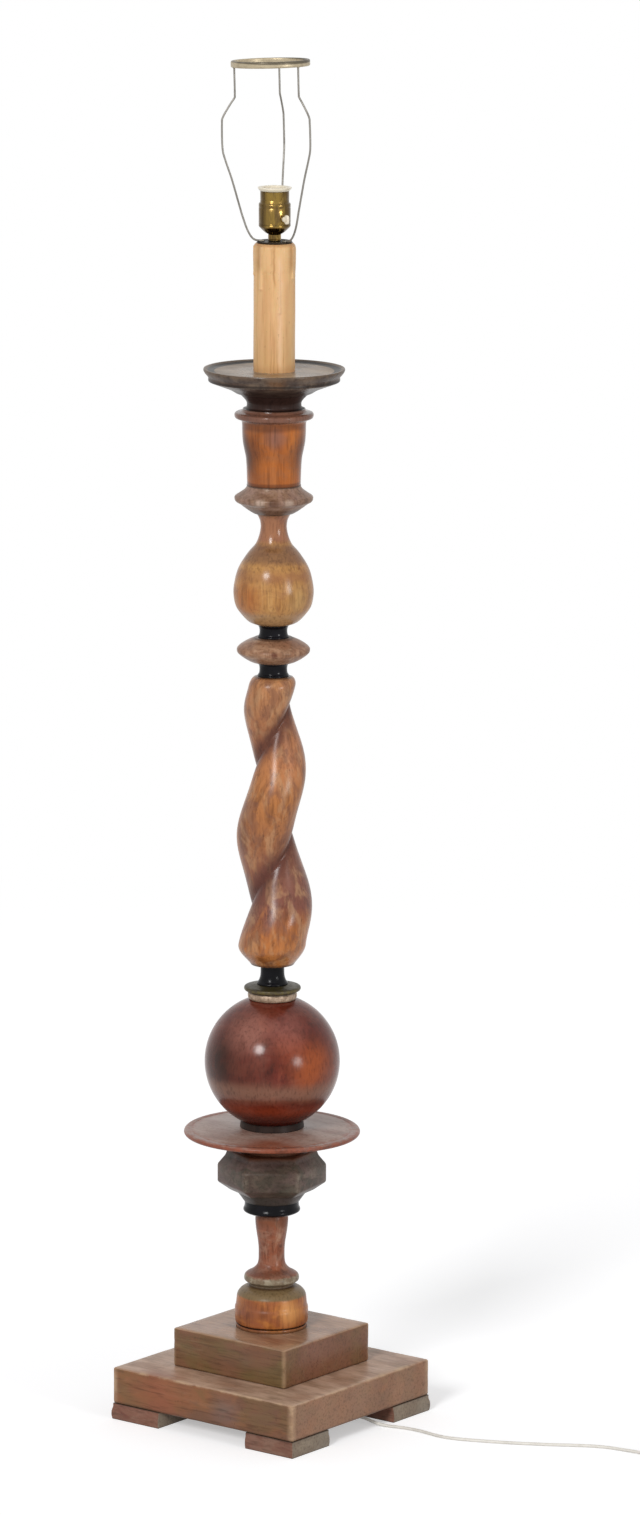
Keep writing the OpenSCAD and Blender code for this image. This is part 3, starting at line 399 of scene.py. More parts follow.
class Nodes:
    """A node tree that is put together call by call."""

    def __init__(self, tree):
        self.tree = tree
        tree.nodes.clear()

    def add(self, kind, settings=None, **inputs):
        node = self.tree.nodes.new("ShaderNode" + kind)
        for key, value in (settings or {}).items():
            setattr(node, key, value)
        for key, value in inputs.items():
            self.put(node.inputs[key.replace("_", " ")], value)
        return node

    def put(self, socket, value):
        """Links an output to a socket or gives it a value or a hex code."""
        if isinstance(value, bpy.types.NodeSocket):
            self.tree.links.new(value, socket)
        else:
            socket.default_value = \
                tint(value) if isinstance(value, str) else value

    def sum(self, kind, a, b=0.0):
        node = self.add("Math", {"operation": kind})
        self.put(node.inputs[0], a)
        self.put(node.inputs[1], b)
        return node.outputs[0]

    def seen(self):
        """1 for rays from the camera and for reflected or refracted ones."""
        rays = self.add("LightPath").outputs
        first = self.sum("MAXIMUM", rays["Is Camera Ray"],
                         rays["Is Glossy Ray"])
        return self.sum("MAXIMUM", first, rays["Is Transmission Ray"])

    def blend(self, share, a, b):
        node = self.add("MixShader")
        for socket, value in zip(node.inputs, (share, a, b)):
            self.put(socket, value)
        return node.outputs[0]


class Finish(Nodes):
    """A material put together from nodes round one surface shader."""

    def __init__(self, name):
        self.material = bpy.data.materials.new(name)
        self.material.use_nodes = True
        super().__init__(self.material.node_tree)
        self.output = self.add("OutputMaterial").inputs[0]
        self.shader = self.add("BsdfPrincipled")
        self.put(self.output, self.shader.outputs[0])
        self.object = self.add("TexCoord").outputs["Object"]

    def place(self, scale=(1, 1, 1), offset=(0, 0, 0)):
        return self.add("Mapping", Vector=self.object, Location=offset,
                        Scale=scale).outputs[0]

    def noise(self, vector, scale, detail=4.0, roughness=0.55, distortion=0.0):
        return self.add("TexNoise", Vector=vector, Scale=scale, Detail=detail,
                        Roughness=roughness, Distortion=distortion).outputs[0]

    def ramp(self, value, *stops):
        node = self.add("ValToRGB", Fac=value)
        marks = node.color_ramp.elements
        while len(marks) < len(stops):
            marks.new(0.5)
        for mark, (position, colour) in zip(marks, stops):
            mark.position = position
            mark.color = tint(colour)
        return node.outputs[0]

    def mix(self, share, a, b, kind="MIX"):
        node = self.add("Mix", {"data_type": "RGBA", "blend_type": kind})
        for index, value in ((0, share), (6, a), (7, b)):
            self.put(node.inputs[index], value)
        return node.outputs[2]

    def lined(self, colour, value, low, dark, high):
        """A colour with dark lines where a value is low."""
        lines = self.ramp(value, (low, dark), (0.5, WHITE), (high, WHITE))
        return self.mix(1.0, colour, lines, "MULTIPLY")

    def over(self, colour, mask, share, code):
        """A colour with a share of a second one over it, under a mask."""
        return self.mix(self.sum("MULTIPLY", mask, share), colour, code)

    def stain(self, colour, value, low, high, share, code):
        """A colour with a second one over it where a value is high."""
        return self.mix(self.span(value, low, high, 0.0, share), colour, code)

    def span(self, value, low, high, first=0.0, last=1.0):
        return self.add("MapRange", {"interpolation_type": "SMOOTHSTEP"},
                        Value=value, From_Min=low, From_Max=high, To_Min=first,
                        To_Max=last).outputs[0]

    def axis(self, name):
        return self.add("SeparateXYZ", Vector=self.object).outputs[name]

    def vector(self, kind, a, b):
        node = self.add("VectorMath", {"operation": kind})
        self.put(node.inputs[0], a)
        node.inputs[1].default_value = b
        return node.outputs

    def along(self, way):
        """How far the surface's place lies one way from the axis."""
        return self.vector("DOT_PRODUCT", self.object, way)["Value"]

    def round(self):
        """Distance from the lamp's axis."""
        flat = self.vector("MULTIPLY", self.object, (1, 1, 0))[0]
        return self.vector("LENGTH", flat, (0, 0, 0))["Value"]

    def spot(self, centre, radius):
        """1 near a point of the surface, falling to 0 at the radius."""
        gap = self.vector("DISTANCE", self.object, centre)["Value"]
        return self.span(gap, 0.15*radius, radius, 1.0, 0.0)

    def band(self, value, low, high, soft):
        """1 between two values, 0 outside them."""
        return self.sum("MULTIPLY",
                        self.span(value, low - soft, low + soft),
                        self.span(value, high - soft, high + soft, 1.0, 0.0))

    def towards(self, way):
        """1 on the faces that look one way."""
        normal = self.add("NewGeometry").outputs["Normal"]
        dot = self.vector("DOT_PRODUCT", normal, way)["Value"]
        return self.span(dot, 0.3, 0.9)

    def bump(self, height, strength, depth):
        node = self.add("Bump", Strength=strength, Distance=depth,
                        Height=height)
        self.put(self.shader.inputs["Normal"], node.outputs[0])

    def surface(self, **inputs):
        for key, value in inputs.items():
            self.put(self.shader.inputs[key.replace("_", " ")], value)
        return self.material


def shade(colour, factor, warm=0.0):
    """A darker or paler shade of a colour, with a little red added."""
    r, g, b = colour[:3]
    return (min(1, r*factor*(1 + warm)), min(1, g*factor),
            min(1, b*factor*(1 - warm)), 1.0)


def wood(name, base, deep=None, pale=None, tone=None, tone_share=0.55,
         grain=(1, 1, 0.1), seed=0.0, gloss=0.28, shine=0.32, ends=None,
         seam=0.75, seam_width=2.2*MM, wear=None, wear_share=0.6, spots=(),
         bands=(), fleck=0.35, dust_and_sheen=None, edges=None, coarse=1.0, clouds=(),
         faces=()):
    """Varnished wood: long figure, fine fibres, cloudy tone, dark seams."""
    base = tint(base)
    deep = deep or shade(base, 0.38, 0.1)
    pale = pale or shade(base, 1.5)
    tone = tone or shade(base, 0.7, 0.15)
    f = Finish(name)
    shift = (seed*1.31, seed*2.17, seed*0.73)
    long_way = f.place(grain, shift)
    figure = f.noise(long_way, 60*coarse, 6.0, 0.62, 0.8)
    colour = f.ramp(figure, (0.3, deep), (0.47, base), (0.56, base),
                    (0.72, pale))
    cloud = f.noise(f.place((1, 1, 0.55), shift), 17*coarse, 3.0, 0.55, 0.4)
    colour = f.stain(colour, cloud, 0.42, 0.66, tone_share, tone)
    for turn, (code, size, share) in enumerate(clouds):
        patch = f.noise(f.place((0.7, 1, 1.3), (seed + turn, 2.3*turn, seed)),
                        size, 3.0, 0.6, 0.5)
        colour = f.stain(colour, patch, 0.44, 0.62, share, code)
    # Each side is tinted by the way it faces: painted light and shade that
    # differs from side to side.
    for way, code, share in faces:
        colour = f.over(colour, f.towards(way),
                        f.span(cloud, 0.3, 0.7, share, 0.6*share), code)
    # Upward faces get paler: partly dust, partly a painted reflection of the
    # bright room on the tops.
    if dust_and_sheen:
        code, share = dust_and_sheen
        dust_and_sheen_film = f.span(f.noise(f.place((0.4, 1, 1), shift), 45, 4.0, 0.6),
                      0.34, 0.66, 0.45*share, share)
        colour = f.over(colour, f.towards((0, 0, 1)), dust_and_sheen_film, code)
    for centre, radius, code, share in spots:
        mask = f.sum("MULTIPLY", f.spot(centre, radius),
                     f.span(figure, 0.25, 0.6, 0.45, 1.0))
        colour = f.over(colour, mask, share, code)
    for low, high, width, code, share, *across in bands:
        ripple = f.sum("MULTIPLY_ADD", cloud, 2.5*width)
        ripple.node.inputs[2].default_value = -1.25*width
        level = f.sum("ADD", f.axis("Z"), ripple)
        mask = f.band(level, low, high, width)
        if across:
            mask = f.sum("MULTIPLY", mask,
                         f.band(f.round(), *across, width))
        colour = f.over(colour, mask, share, code)
    fibre = f.noise(f.place((grain[0], grain[1], grain[2]*0.6)
                            if grain[2] < 1 else (grain[0]*0.6, 1, 1), shift),
                    330, 4.0, 0.6)
    colour = f.lined(colour, fibre, 0.32, (0.66, 0.64, 0.62, 1), 0.68)
    if fleck:
        marks = f.noise(f.place((1, 1, 0.5), shift), 210, 3.0, 0.7)
        colour = f.stain(colour, marks, 0.63, 0.7, fleck, shade(base, 0.22))
    rough = f.span(cloud, 0.3, 0.7, gloss - 0.05, gloss + 0.09)
    # Paler towards the widest radius: partly rubbed wear, partly a painted
    # highlight on the widest part.
    if wear:
        low, high, code = wear
        ragged = f.span(f.noise(f.place((1, 1, 1), shift), 120, 5.0, 0.7),
                        0.38, 0.62)
        mask = f.sum("MULTIPLY", f.span(f.round(), low, high), ragged)
        colour = f.over(colour, mask, wear_share, code)
    # Paler along the upright corners and the top edges: partly rubbed wear,
    # partly painted highlight.
    if edges:
        low, high, width, code, share = edges
        near_x, near_y = (
            f.span(f.sum("ABSOLUTE", f.axis(name)), end - width,
                   end - 0.2*width)
            for name, end in (("X", high.x), ("Y", high.y)))
        z = f.axis("Z")
        near_top = f.span(z, high.z - 0.35*width, high.z - 0.05*width)
        painted_foot_shade = f.span(z, low.z + 0.1*width, low.z + 0.4*width, 1.0, 0.0)
        side = f.sum("MAXIMUM", near_x, near_y)
        ragged = f.span(f.noise(f.place((1, 1, 1), shift), 50, 4.0, 0.6),
                        0.4, 0.66)
        whole = f.span(ragged, 0.0, 1.0, 0.45, 1.0)
        upright = f.sum("MULTIPLY", f.sum("MULTIPLY", near_x, near_y), whole)
        level = f.sum("MULTIPLY", f.sum("MULTIPLY", side, near_top), ragged)
        mask = f.sum("MAXIMUM", upright, level)
        colour = f.over(colour, mask, share, code)
        # Darker near the foot of the block: painted shade where it stands.
        colour = f.over(colour, painted_foot_shade, 0.5, shade(base, 0.35))
    if ends:
        low, high = ends
        z = f.axis("Z")
        # Darker towards both ends of the piece, where it meets the next one.
        darker_ends = f.sum("MAXIMUM",
                     f.span(z, low, low + seam_width, 1.0, 0.0),
                     f.span(z, high - seam_width, high))
        colour = f.over(colour, darker_ends, seam, shade(base, 0.12))
    height = f.sum("ADD", f.sum("MULTIPLY", figure, 0.6),
                   f.sum("MULTIPLY", fibre, 0.4))
    f.bump(height, 0.22, 0.5*MM)
    return f.surface(Base_Color=colour, Roughness=rough,
                     Specular_IOR_Level=shine)


def lacquer():
    """Black lacquer, glossy, with rubbed brown spots and dust."""
    black = colours().black
    f = Finish("glossy_black_lacquer")
    cloud = f.noise(f.place((1, 1, 0.7)), 70, 4.0, 0.6)
    rubbed = f.noise(f.place(), 260, 5.0, 0.7)
    colour = f.mix(f.span(cloud, 0.4, 0.7, 0.0, 0.5), tuple(black), "1b1a20")
    colour = f.stain(colour, rubbed, 0.66, 0.76, 0.4, "3c3028")
    f.bump(cloud, 0.1, 0.4*MM)
    return f.surface(Base_Color=colour, Specular_IOR_Level=0.1,
                     Roughness=f.span(rubbed, 0.3, 0.75, 0.12, 0.26))


def metal(name, base, dark, rough=0.3, stain=0.5, grain=(1, 1, 1), size=90,
          bump=0.12, shine=1.0):
    """Metal with stains and a fine drawn or brushed grain."""
    f = Finish(name)
    spots = f.noise(f.place(), size, 5.0, 0.65, 0.3)
    fine = f.noise(f.place(grain), 900, 3.0, 0.6)
    colour = f.mix(f.span(spots, 0.42, 0.68, 0.0, stain), tint(base), dark)
    colour = f.mix(f.span(fine, 0.35, 0.65, 0.12, 0.0), colour, dark)
    f.bump(fine, bump, 0.2*MM)
    return f.surface(
        Base_Color=colour, Metallic=shine,
        Roughness=f.span(spots, 0.3, 0.7, rough - 0.07, rough + 0.14))


def plastic(name, base, grime, rough=0.35, share=0.3, size=60):
    """Moulded plastic with a little grime and a fine skin."""
    f = Finish(name)
    cloud = f.noise(f.place(), size, 4.0, 0.6)
    skin = f.noise(f.place(), 1400, 2.0, 0.5)
    colour = f.mix(f.span(cloud, 0.45, 0.75, 0.0, share), tint(base), grime)
    f.bump(skin, 0.1, 0.08*MM)
    return f.surface(
        Base_Color=colour, Specular_IOR_Level=0.45,
        Roughness=f.span(cloud, 0.3, 0.7, rough - 0.06, rough + 0.1))


# -------------------------------------------------------------- the stage

# Where the camera stands, how it is tilted and rolled, and its lens.
CAMERA_PLACE = (5.3375, -6.7715, 2.4740)
CAMERA_TILT, CAMERA_ROLL = 79.132, 0.168
CAMERA_LENS, CAMERA_SHIFT = 173.46, 0.03095

# Each lamp's name, the way to it, its strength and its spread in degrees.
SOFTBOXES = (("front_softbox", (0.195, -0.841, 0.503), 1.55, 15),
             ("side_softbox", (0.984, -0.118, 0.135), 0.8, 13))
FLOOR_GREY, FLOOR_GLOW, ROOM_LIGHT = (0.8, 0.8, 0.81, 1), 0.42, 0.5


class LAMP_OT_stage(bpy.types.Operator):
    """Puts up the floor, the two soft lamps, the world and the camera"""
    bl_idname = "lamp.stage"
    bl_label = "Stage"

    def execute(self, context):
        rest()
        bpy.ops.mesh.primitive_circle_add(vertices=128, radius=4.0,
                                          fill_type="NGON")
        floor = named("floor")
        floor.data.materials.append(self.paper())
        for name, towards, energy, spread in SOFTBOXES:
            rest()
            bpy.ops.object.light_add(type="SUN")
            lamp = context.object
            lamp.name = name
            turn = Vector(towards).to_track_quat("Z", "Y")
            lamp.rotation_euler = turn.to_euler()
            lamp.data.energy = energy
            lamp.data.angle = math.radians(spread)

        # The room lights the lamp less than it shows.
        world = bpy.data.worlds.new("soft_room")
        context.scene.world = world
        world.use_nodes = True
        room = Nodes(world.node_tree)
        lit, shown = (room.add("Background", Color=WHITE, Strength=strength)
                      .outputs[0] for strength in (ROOM_LIGHT, 1.0))
        room.put(room.add("OutputWorld").inputs[0],
                 room.blend(room.seen(), lit, shown))

        rest()
        bpy.ops.object.camera_add()
        camera = context.object
        camera.name = "view_camera"
        camera.matrix_world = (
            Matrix.Translation(CAMERA_PLACE)
            @ Matrix.Rotation(TURN, 4, "Z")
            @ Matrix.Rotation(math.radians(CAMERA_TILT), 4, "X")
            @ Matrix.Rotation(math.radians(CAMERA_ROLL), 4, "Z"))
        camera.data.sensor_width = 36
        camera.data.lens = CAMERA_LENS
        camera.data.shift_x = CAMERA_SHIFT
        camera.data.clip_end = 200
        context.scene.camera = camera
        context.scene.view_settings.view_transform = "Standard"
        return {"FINISHED"}

    @staticmethod
    def paper():
        """Pale paper that fades to white away from the lamp."""
        f = Finish("pale_floor")
        seen = f.seen()
        near = f.add("AddShader")
        glow = f.sum("MULTIPLY", seen, FLOOR_GLOW)
        for socket, part in zip(near.inputs, (
                f.add("BsdfDiffuse", Color=FLOOR_GREY),
                f.add("Emission", Color=WHITE, Strength=glow))):
            f.put(socket, part.outputs[0])
        white = f.add("Emission", Color=WHITE, Strength=1.0).outputs[0]
        far = f.sum("MULTIPLY", f.span(f.round(), 1.2, 3.2), seen)
        f.put(f.output, f.blend(far, near.outputs[0], white))
        f.tree.nodes.remove(f.shader)
        return f.material


# --------------------------------------------------------------- the cord

RUN = [
    (103.3, 31.6, 10), (111, 34, 9.5), (120, 36.5, 7.5), (129, 39, 4.8),
    (138, 41.5, 2.8), (147, 44, 2), (157, 47, 2), (168, 49.5, 2),
    (180, 51, 2), (192, 51, 2), (204, 49.5, 2), (216, 48, 2),
    (228, 48, 2), (240, 50, 2), (252, 54, 2), (264, 59, 2),
    (278, 65, 2), (292, 71.5, 2), (306, 78.5, 2), (320, 86, 2),
    (334, 94, 2), (348, 102.5, 2), (362, 111.5, 2), (376, 120.5, 2),
    (390, 128.5, 2), (404, 134.5, 2), (418, 138, 2), (432, 139.4, 2.2),
    (446, 139.8, 2.8), (458, 140, 3), (470, 140, 3), (484, 140, 3),
]
TAIL = [
    (492, 140, 16.5), (498, 139.8, 16.2), (506, 139.2, 14.6),
    (514, 139, 12), (522, 140.2, 9.6), (530, 143.6, 8), (536.5, 149, 7),
    (541, 156, 6.6), (543, 164, 6.5), (543, 172, 6.5), (543, 176, 6.5),
]
COIL_MID = (488, 170)
COIL_RADIUS, COIL_TURNS, COIL_LAYERS, COIL_STEP = 30, 11, 4, 4.5


def coil_point(t):
    """A point of the wound cord after t turns, in millimetres."""
    per_layer = COIL_TURNS/COIL_LAYERS
    layer = min(int(t/per_layer), COIL_LAYERS - 1)
    part = t - layer*per_layer
    inward = COIL_STEP*(part if layer % 2 == 0 else per_layer - part)
    climb = math.sqrt(1 - max(0, 1 - 2*part)**2)
    up = 0 if layer == 0 else COIL_STEP*(layer - 1 + climb)
    angle = math.radians(360*t - 90)
    r = COIL_RADIUS - inward
    return (COIL_MID[0] + r*math.cos(angle), COIL_MID[1] + r*math.sin(angle),
            3 + up)


class LAMP_OT_cord(bpy.types.Operator):
    """Lays the mains cord from the plinth to its coil, tie and plug"""
    bl_idname = "lamp.cord"
    bl_label = "Cord, tie and plug"

    def execute(self, context):
        wound = [coil_point(i/24) for i in range(COIL_TURNS*24 + 1)]
        route = spline(RUN, 2) + wound + TAIL
        route = [tuple(c*MM for c in p) for p in route]
        cord = swept("mains_cord", route, sizes().cord_width/2)
        flex = self.flex()
        cord.data.materials.append(flex)
        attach(cord, "lamp")
        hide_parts("cord_run", "cord_coil", "cord_tail")
        tie = self.tie()
        plug = self.plug()
        dress(metal("plug_nickel", "c9c6bf", "8a867e", 0.22),
              "plug_pins")
        return {"FINISHED"}

    @staticmethod
    def flex():
        f = Finish("cord_flex")
        grime = f.noise(f.place(), 130, 5.0, 0.65)
        fine = f.noise(f.place(), 1500, 2.0, 0.5)
        colour = f.mix(f.span(grime, 0.42, 0.72, 0.0, 0.35),
                       tuple(colours().cord), "b8b2a8")
        f.bump(fine, 0.05, 0.1*MM)
        return f.surface(Base_Color=colour, Specular_IOR_Level=0.4,
                         Roughness=f.span(grime, 0.3, 0.7, 0.38, 0.55))

    @staticmethod
    def tie():
        low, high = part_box("coil_tie")
        angle = math.radians(60)
        per_layer = COIL_TURNS/COIL_LAYERS
        wide = (per_layer*COIL_STEP + 4 + 0.6)*MM
        strap = 9*MM
        tall = high.z - low.z - 1.6*MM
        middle = (COIL_RADIUS - per_layer*COIL_STEP/2)*MM
        rest()
        bpy.ops.mesh.primitive_cube_add(
            size=1, location=(middle, 0, (low.z + high.z)/2),
            scale=(wide + 1.6*MM, strap, tall + 1.6*MM))
        tie = named("coil_strap")
        mesh = tie.data
        for face in mesh.polygons:
            face.select = abs(face.normal.y) > 0.9
        bpy.context.tool_settings.mesh_select_mode = (False, False, True)
        edit("FACE", whole=False)
        bpy.ops.mesh.inset(thickness=0.8*MM, depth=0)
        bpy.ops.mesh.bridge_edge_loops()
        done()
        bevelled(tie, 0.5*MM, 3)
        mesh.transform(Matrix.Translation((COIL_MID[0]*MM, COIL_MID[1]*MM, 0))
                       @ Matrix.Rotation(angle, 4, "Z"))
        f = Finish("strap_cloth")
        weave = f.noise(f.place(), 1100, 2.0, 0.5)
        hooks = f.noise(f.place(), 420, 3.0, 0.7)
        colour = f.mix(f.span(weave, 0.3, 0.7), "1f1f21", "3d3d40")
        f.bump(f.sum("ADD", weave, hooks), 0.4, 0.3*MM)
        return settle(soft(tie), "lamp", f.surface(Base_Color=colour,
                      Roughness=0.85), "black_plastic", "coil_tie")

    @staticmethod
    def plug():
        low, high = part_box("plug_body")
        x, z = (low.x + high.x)/2, (low.z + high.z)/2
        y0, length = low.y, high.y - low.y
        # Distance along the plug, half width, half height and squareness.
        rings = [(0, 3, 3, 0), (0.06, 3.3, 3.3, 0), (0.08, 3.0, 3.0, 0),
                 (0.11, 3.0, 3.0, 0), (0.13, 3.7, 3.7, 0), (0.16, 3.7, 3.7, 0),
                 (0.18, 3.3, 3.3, 0), (0.21, 3.3, 3.3, 0), (0.23, 4.3, 4.2, 0),
                 (0.27, 5.2, 4.7, 0.1), (0.29, 9.2, 5.3, 0.3),
                 (0.33, 10.4, 5.6, 0.4), (0.45, 11.6, 5.5, 0.5),
                 (0.62, 13.0, 5.1, 0.6), (0.78, 15.2, 5.7, 0.6),
                 (0.86, 16.4, 6.1, 0.6), (0.89, 16.0, 5.7, 0.6),
                 (0.92, 16.5, 6.15, 0.6), (0.985, 16.7, 6.2, 0.6),
                 (1, 16.1, 5.6, 0.6)]
        rest()
        bpy.ops.mesh.primitive_circle_add(
            vertices=48, radius=MM, fill_type="NGON", location=(x, y0, z),
            rotation=(math.pi/2, 0, 0))
        plug = named("plug")
        edit("FACE")
        for i in range(len(rings) - 1):
            pull(0, (rings[i + 1][0] - rings[i][0])*length, 0)
        done()
        for vertex in plug.data.vertices:
            share = (vertex.co.y - y0)/length
            _, wide, tall, square = min(rings, key=lambda p: abs(p[0] - share))
            a = math.atan2(vertex.co.z - z, vertex.co.x - x)
            power = 1 - 0.45*square
            c, s = math.cos(a), math.sin(a)
            vertex.co.x = x + wide*MM*math.copysign(abs(c)**power, c)
            vertex.co.z = z + tall*MM*math.copysign(abs(s)**power, s)
        cleaned(plug, 1e-6)
        pins = [rod(2.05*MM, 0, 14*MM) for _ in range(2)]
        for side, pin in zip((-1, 1), pins):
            pin.data.transform(
                Matrix.Translation((x + side*9.5*MM, high.y - 8*MM, z))
                @ Matrix.Rotation(-math.pi/2, 4, "X"))
        cut(plug, *pins)
        bevelled(plug, 0.35*MM, 2, 40)
        return settle(soft(plug, 50), "lamp",
                      plastic("plug_plastic", colours().cord, "a9a298",
                              0.32, 0.3), "plug_white", "plug_body")


# -------------------------------------------------------- feet and plinths

class LAMP_OT_feet(bpy.types.Operator):
    """Makes one moulded corner foot with its screw holes and copies it"""
    bl_idname = "lamp.feet"
    bl_label = "Feet"

    def execute(self, context):
        low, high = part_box("foot_back_right")
        flare = 1.5*MM
        edge_x, edge_y = high.x - flare, high.y - flare
        levels = spline(FOOT_MOULDING, 3)
        rest()
        bpy.ops.mesh.primitive_plane_add(
            size=1, location=((low.x + edge_x)/2, (low.y + edge_y)/2, low.z),
            scale=(edge_x - low.x, edge_y - low.y, 1))
        foot = named("foot_block")
        self.fit(foot, low, edge_x, edge_y)
        edit("FACE")
        for a, b in zip(levels, levels[1:]):
            pull(0, 0, (b[1] - a[1])*(high.z - low.z))
        done()
        for vertex in foot.data.vertices:
            share = (vertex.co.z - low.z)/(high.z - low.z)
            out = min(levels, key=lambda p: abs(p[1] - share))[0]
            if vertex.co.x > edge_x - MM:
                vertex.co.x = edge_x + out*flare
            if vertex.co.y > edge_y - MM:
                vertex.co.y = edge_y + out*flare
        cleaned(foot, 1e-6)
        bevelled(foot, 0.5*MM, 2, 50)
        side = edge_x - low.x
        cut(foot, joined(*(
            screw_hole((edge_x - side*a, edge_y - side*b), -5*MM, 5*MM, 40*MM)
            for a, b in ((0.3, 0.7), (0.7, 0.3)))))
        soft(foot, 40)
        colour = colours().feet
        finish = wood(
            "dusty_foot_wood", colour, deep="4c3c30", pale="9c8a77",
            tone="6a5244", tone_share=0.5, grain=(0.25, 1, 1), seed=3.1,
            gloss=0.42, shine=0.2, fleck=0.35, ends=(0, high.z),
            # The paler right-hand side and the redder left-hand side are
            # painted light and shade.
            seam_width=1.6*MM, faces=(((1, 0, 0), "877d6e", 0.75),
                                      ((0, -1, 0), "80483c", 0.6)),
            clouds=(("948673", 50, 0.4),))
        for name, sx, sy in (("foot_back_right", 1, 1),
                             ("foot_front_right", 1, -1),
                             ("foot_front_left", -1, -1),
                             ("foot_back_left", -1, 1)):
            copy = foot.copy()
            copy.data = foot.data.copy()
            copy.name = name + "_wood"
            context.collection.objects.link(copy)
            copy.data.transform(Matrix.Diagonal((sx, sy, 1, 1)))
            if sx*sy < 0:
                copy.data.flip_normals()
            settle(copy, "lamp", finish, "wood_foot", name)
        bpy.data.objects.remove(foot)
        dress(metal("screw_steel", "8f8a80", "4f4a42", 0.38),
              "foot_screws", "plinth_screws", "clamp_screws")
        return {"FINISHED"}

    @staticmethod
    def fit(foot, low, edge_x, edge_y):
        for vertex in foot.data.vertices:
            x = edge_x if vertex.co.x > (low.x + edge_x)/2 else low.x
            y = edge_y if vertex.co.y > (low.y + edge_y)/2 else low.y
            vertex.co = (x, y, low.z)


def screw_hole(at, low, head, high):
    """A cutter for a countersunk wood screw that goes in from below."""
    hole = lathe("screw_hole", [(0, low), (4.8*MM, low), (4.8*MM, head),
                                (2.4*MM, head + 2.7*MM), (2.4*MM, high),
                                (0, high)], 32)
    hole.data.transform(Matrix.Translation((*at, 0)))
    return hole


def worn_block(name, node, wear, dents, seed):
    """A block with rounded, dented edges, as large as its node."""
    low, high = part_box(node)
    size, middle = high - low, (low + high)/2
    rest()
    bpy.ops.mesh.primitive_cube_add(size=1, location=middle, scale=size)
    block = named(name)
    edit("FACE")
    bpy.ops.mesh.bevel(offset=wear, segments=3, affect="EDGES")
    bpy.ops.mesh.select_all(action="SELECT")
    bpy.ops.mesh.subdivide(number_cuts=6)
    done()
    modified(block, "SUBSURF", subdivision_type="SIMPLE", levels=2,
             render_levels=2)
    for vertex in block.data.vertices:
        co = vertex.co
        gaps = sorted((abs(abs(co.x) - size.x/2), abs(abs(co.y) - size.y/2),
                       min(abs(co.z - high.z), abs(co.z - low.z))))
        near = max(0, 1 - gaps[1]/(3*wear))
        knock = noise.noise(co*55 + Vector((seed, 0, 0)))
        chip = max(0, noise.noise(co*140 + Vector((0, seed, 0))) - 0.15)
        inward = (middle - co).normalized()
        vertex.co = co + inward*near*dents*(max(0, knock) + 1.6*chip)
    return block


class LAMP_OT_plinths(bpy.types.Operator):
    """Makes the two worn plinths with the recess and holes underneath"""
    bl_idname = "lamp.plinths"
    bl_label = "Plinths"

    def execute(self, context):
        wear, dents = sizes().worn_edge, sizes().dents
        colour = colours().plinth
        low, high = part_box("plinth_lower")
        block = worn_block("lower_plinth", "plinth_lower", wear, dents, 1.7)
        below = low.z - 5*MM
        tube = lathe("tube_hole", [(0, below), (18*MM, below),
                                   (18*MM, low.z + 24*MM),
                                   (BORE, low.z + 24*MM),
                                   (BORE, high.z + 0.01), (0, high.z + 0.01)],
                     48)
        holes = []
        step_low, step_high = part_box("plinth_upper")
        for sx in (-1, 1):
            for sy in (-1, 1):
                at = (sx*(step_high.x - 22*MM), sy*(step_high.y - 22*MM))
                holes.append(screw_hole(at, below, low.z + 2.1*MM,
                                        high.z + 0.01))
        cut(block, joined(tube, *holes))
        soft(block, 40)
        # Pale edges, paler right-hand faces and paler tops: partly wear and
        # dust, partly painted highlight, side light and reflection.
        finish = wood(
            "worn_plinth_wood", colour, deep="5a3c2a",
            pale="957156", tone="6d4c3c", tone_share=0.4,
            grain=(0.16, 1, 1), seed=8.4, gloss=0.36, shine=0.22, coarse=0.75,
            fleck=0.3, edges=(low, high, 10*MM, "ba9c7e", 0.75),
            clouds=(("8c5a3a", 16, 0.6), ("664a3c", 22, 0.6),
                    ("6e5836", 34, 0.4)),
            faces=(((1, 0, 0), "9c7860", 0.6),), dust_and_sheen=("c2a18a", 0.95),
            spots=[(viewed(-0.14, 0.07, 0.045), 0.06,
                    "94533a", 0.6),
                   (viewed(-0.05, 0.12, 0.04), 0.035,
                    "6f5c5a", 0.6),
                   (viewed(-0.13, 0.08, high.z), 0.03,
                    "8c5c3e", 0.6)])
        settle(block, "lamp", finish, "wood_plinth", "plinth_lower")

        block = worn_block("upper_plinth", "plinth_upper", wear, dents, 6.2)
        cut(block, rod(BORE, step_low.z - 0.01, step_high.z + 0.01, sides=48))
        soft(block, 40)
        # Pale edges, paler right-hand faces and paler tops: partly wear and
        # dust, partly painted highlight, side light and reflection.
        finish = wood(
            "polished_plinth_wood", shade(colour, 0.86), deep="523b28",
            pale="876a4c", tone="62532f", tone_share=0.6,
            grain=(0.14, 1, 1), seed=14.9, gloss=0.26, shine=0.25, coarse=0.7,
            fleck=0.25, edges=(step_low, step_high, 6*MM, "a5886a", 0.5),
            clouds=(("6d5a3a", 26, 0.55), ("7a5040", 20, 0.45)),
            faces=(((1, 0, 0), "7e533c", 0.45),), dust_and_sheen=("b28c70", 0.95),
            spots=[(viewed(-0.045, 0.1, 0.09), 0.028,
                    "634f58", 0.75),
                   (viewed(0.07, 0.08, 0.1), 0.04,
                    "875a4c", 0.5),
                   (viewed(0, 0.075, 0.113), 0.035, "8a5238",
                    0.55)])
        settle(block, "lamp", finish, "wood_plinth_top", "plinth_upper")
        return {"FINISHED"}


# ------------------------------------------------------------ lower turnings

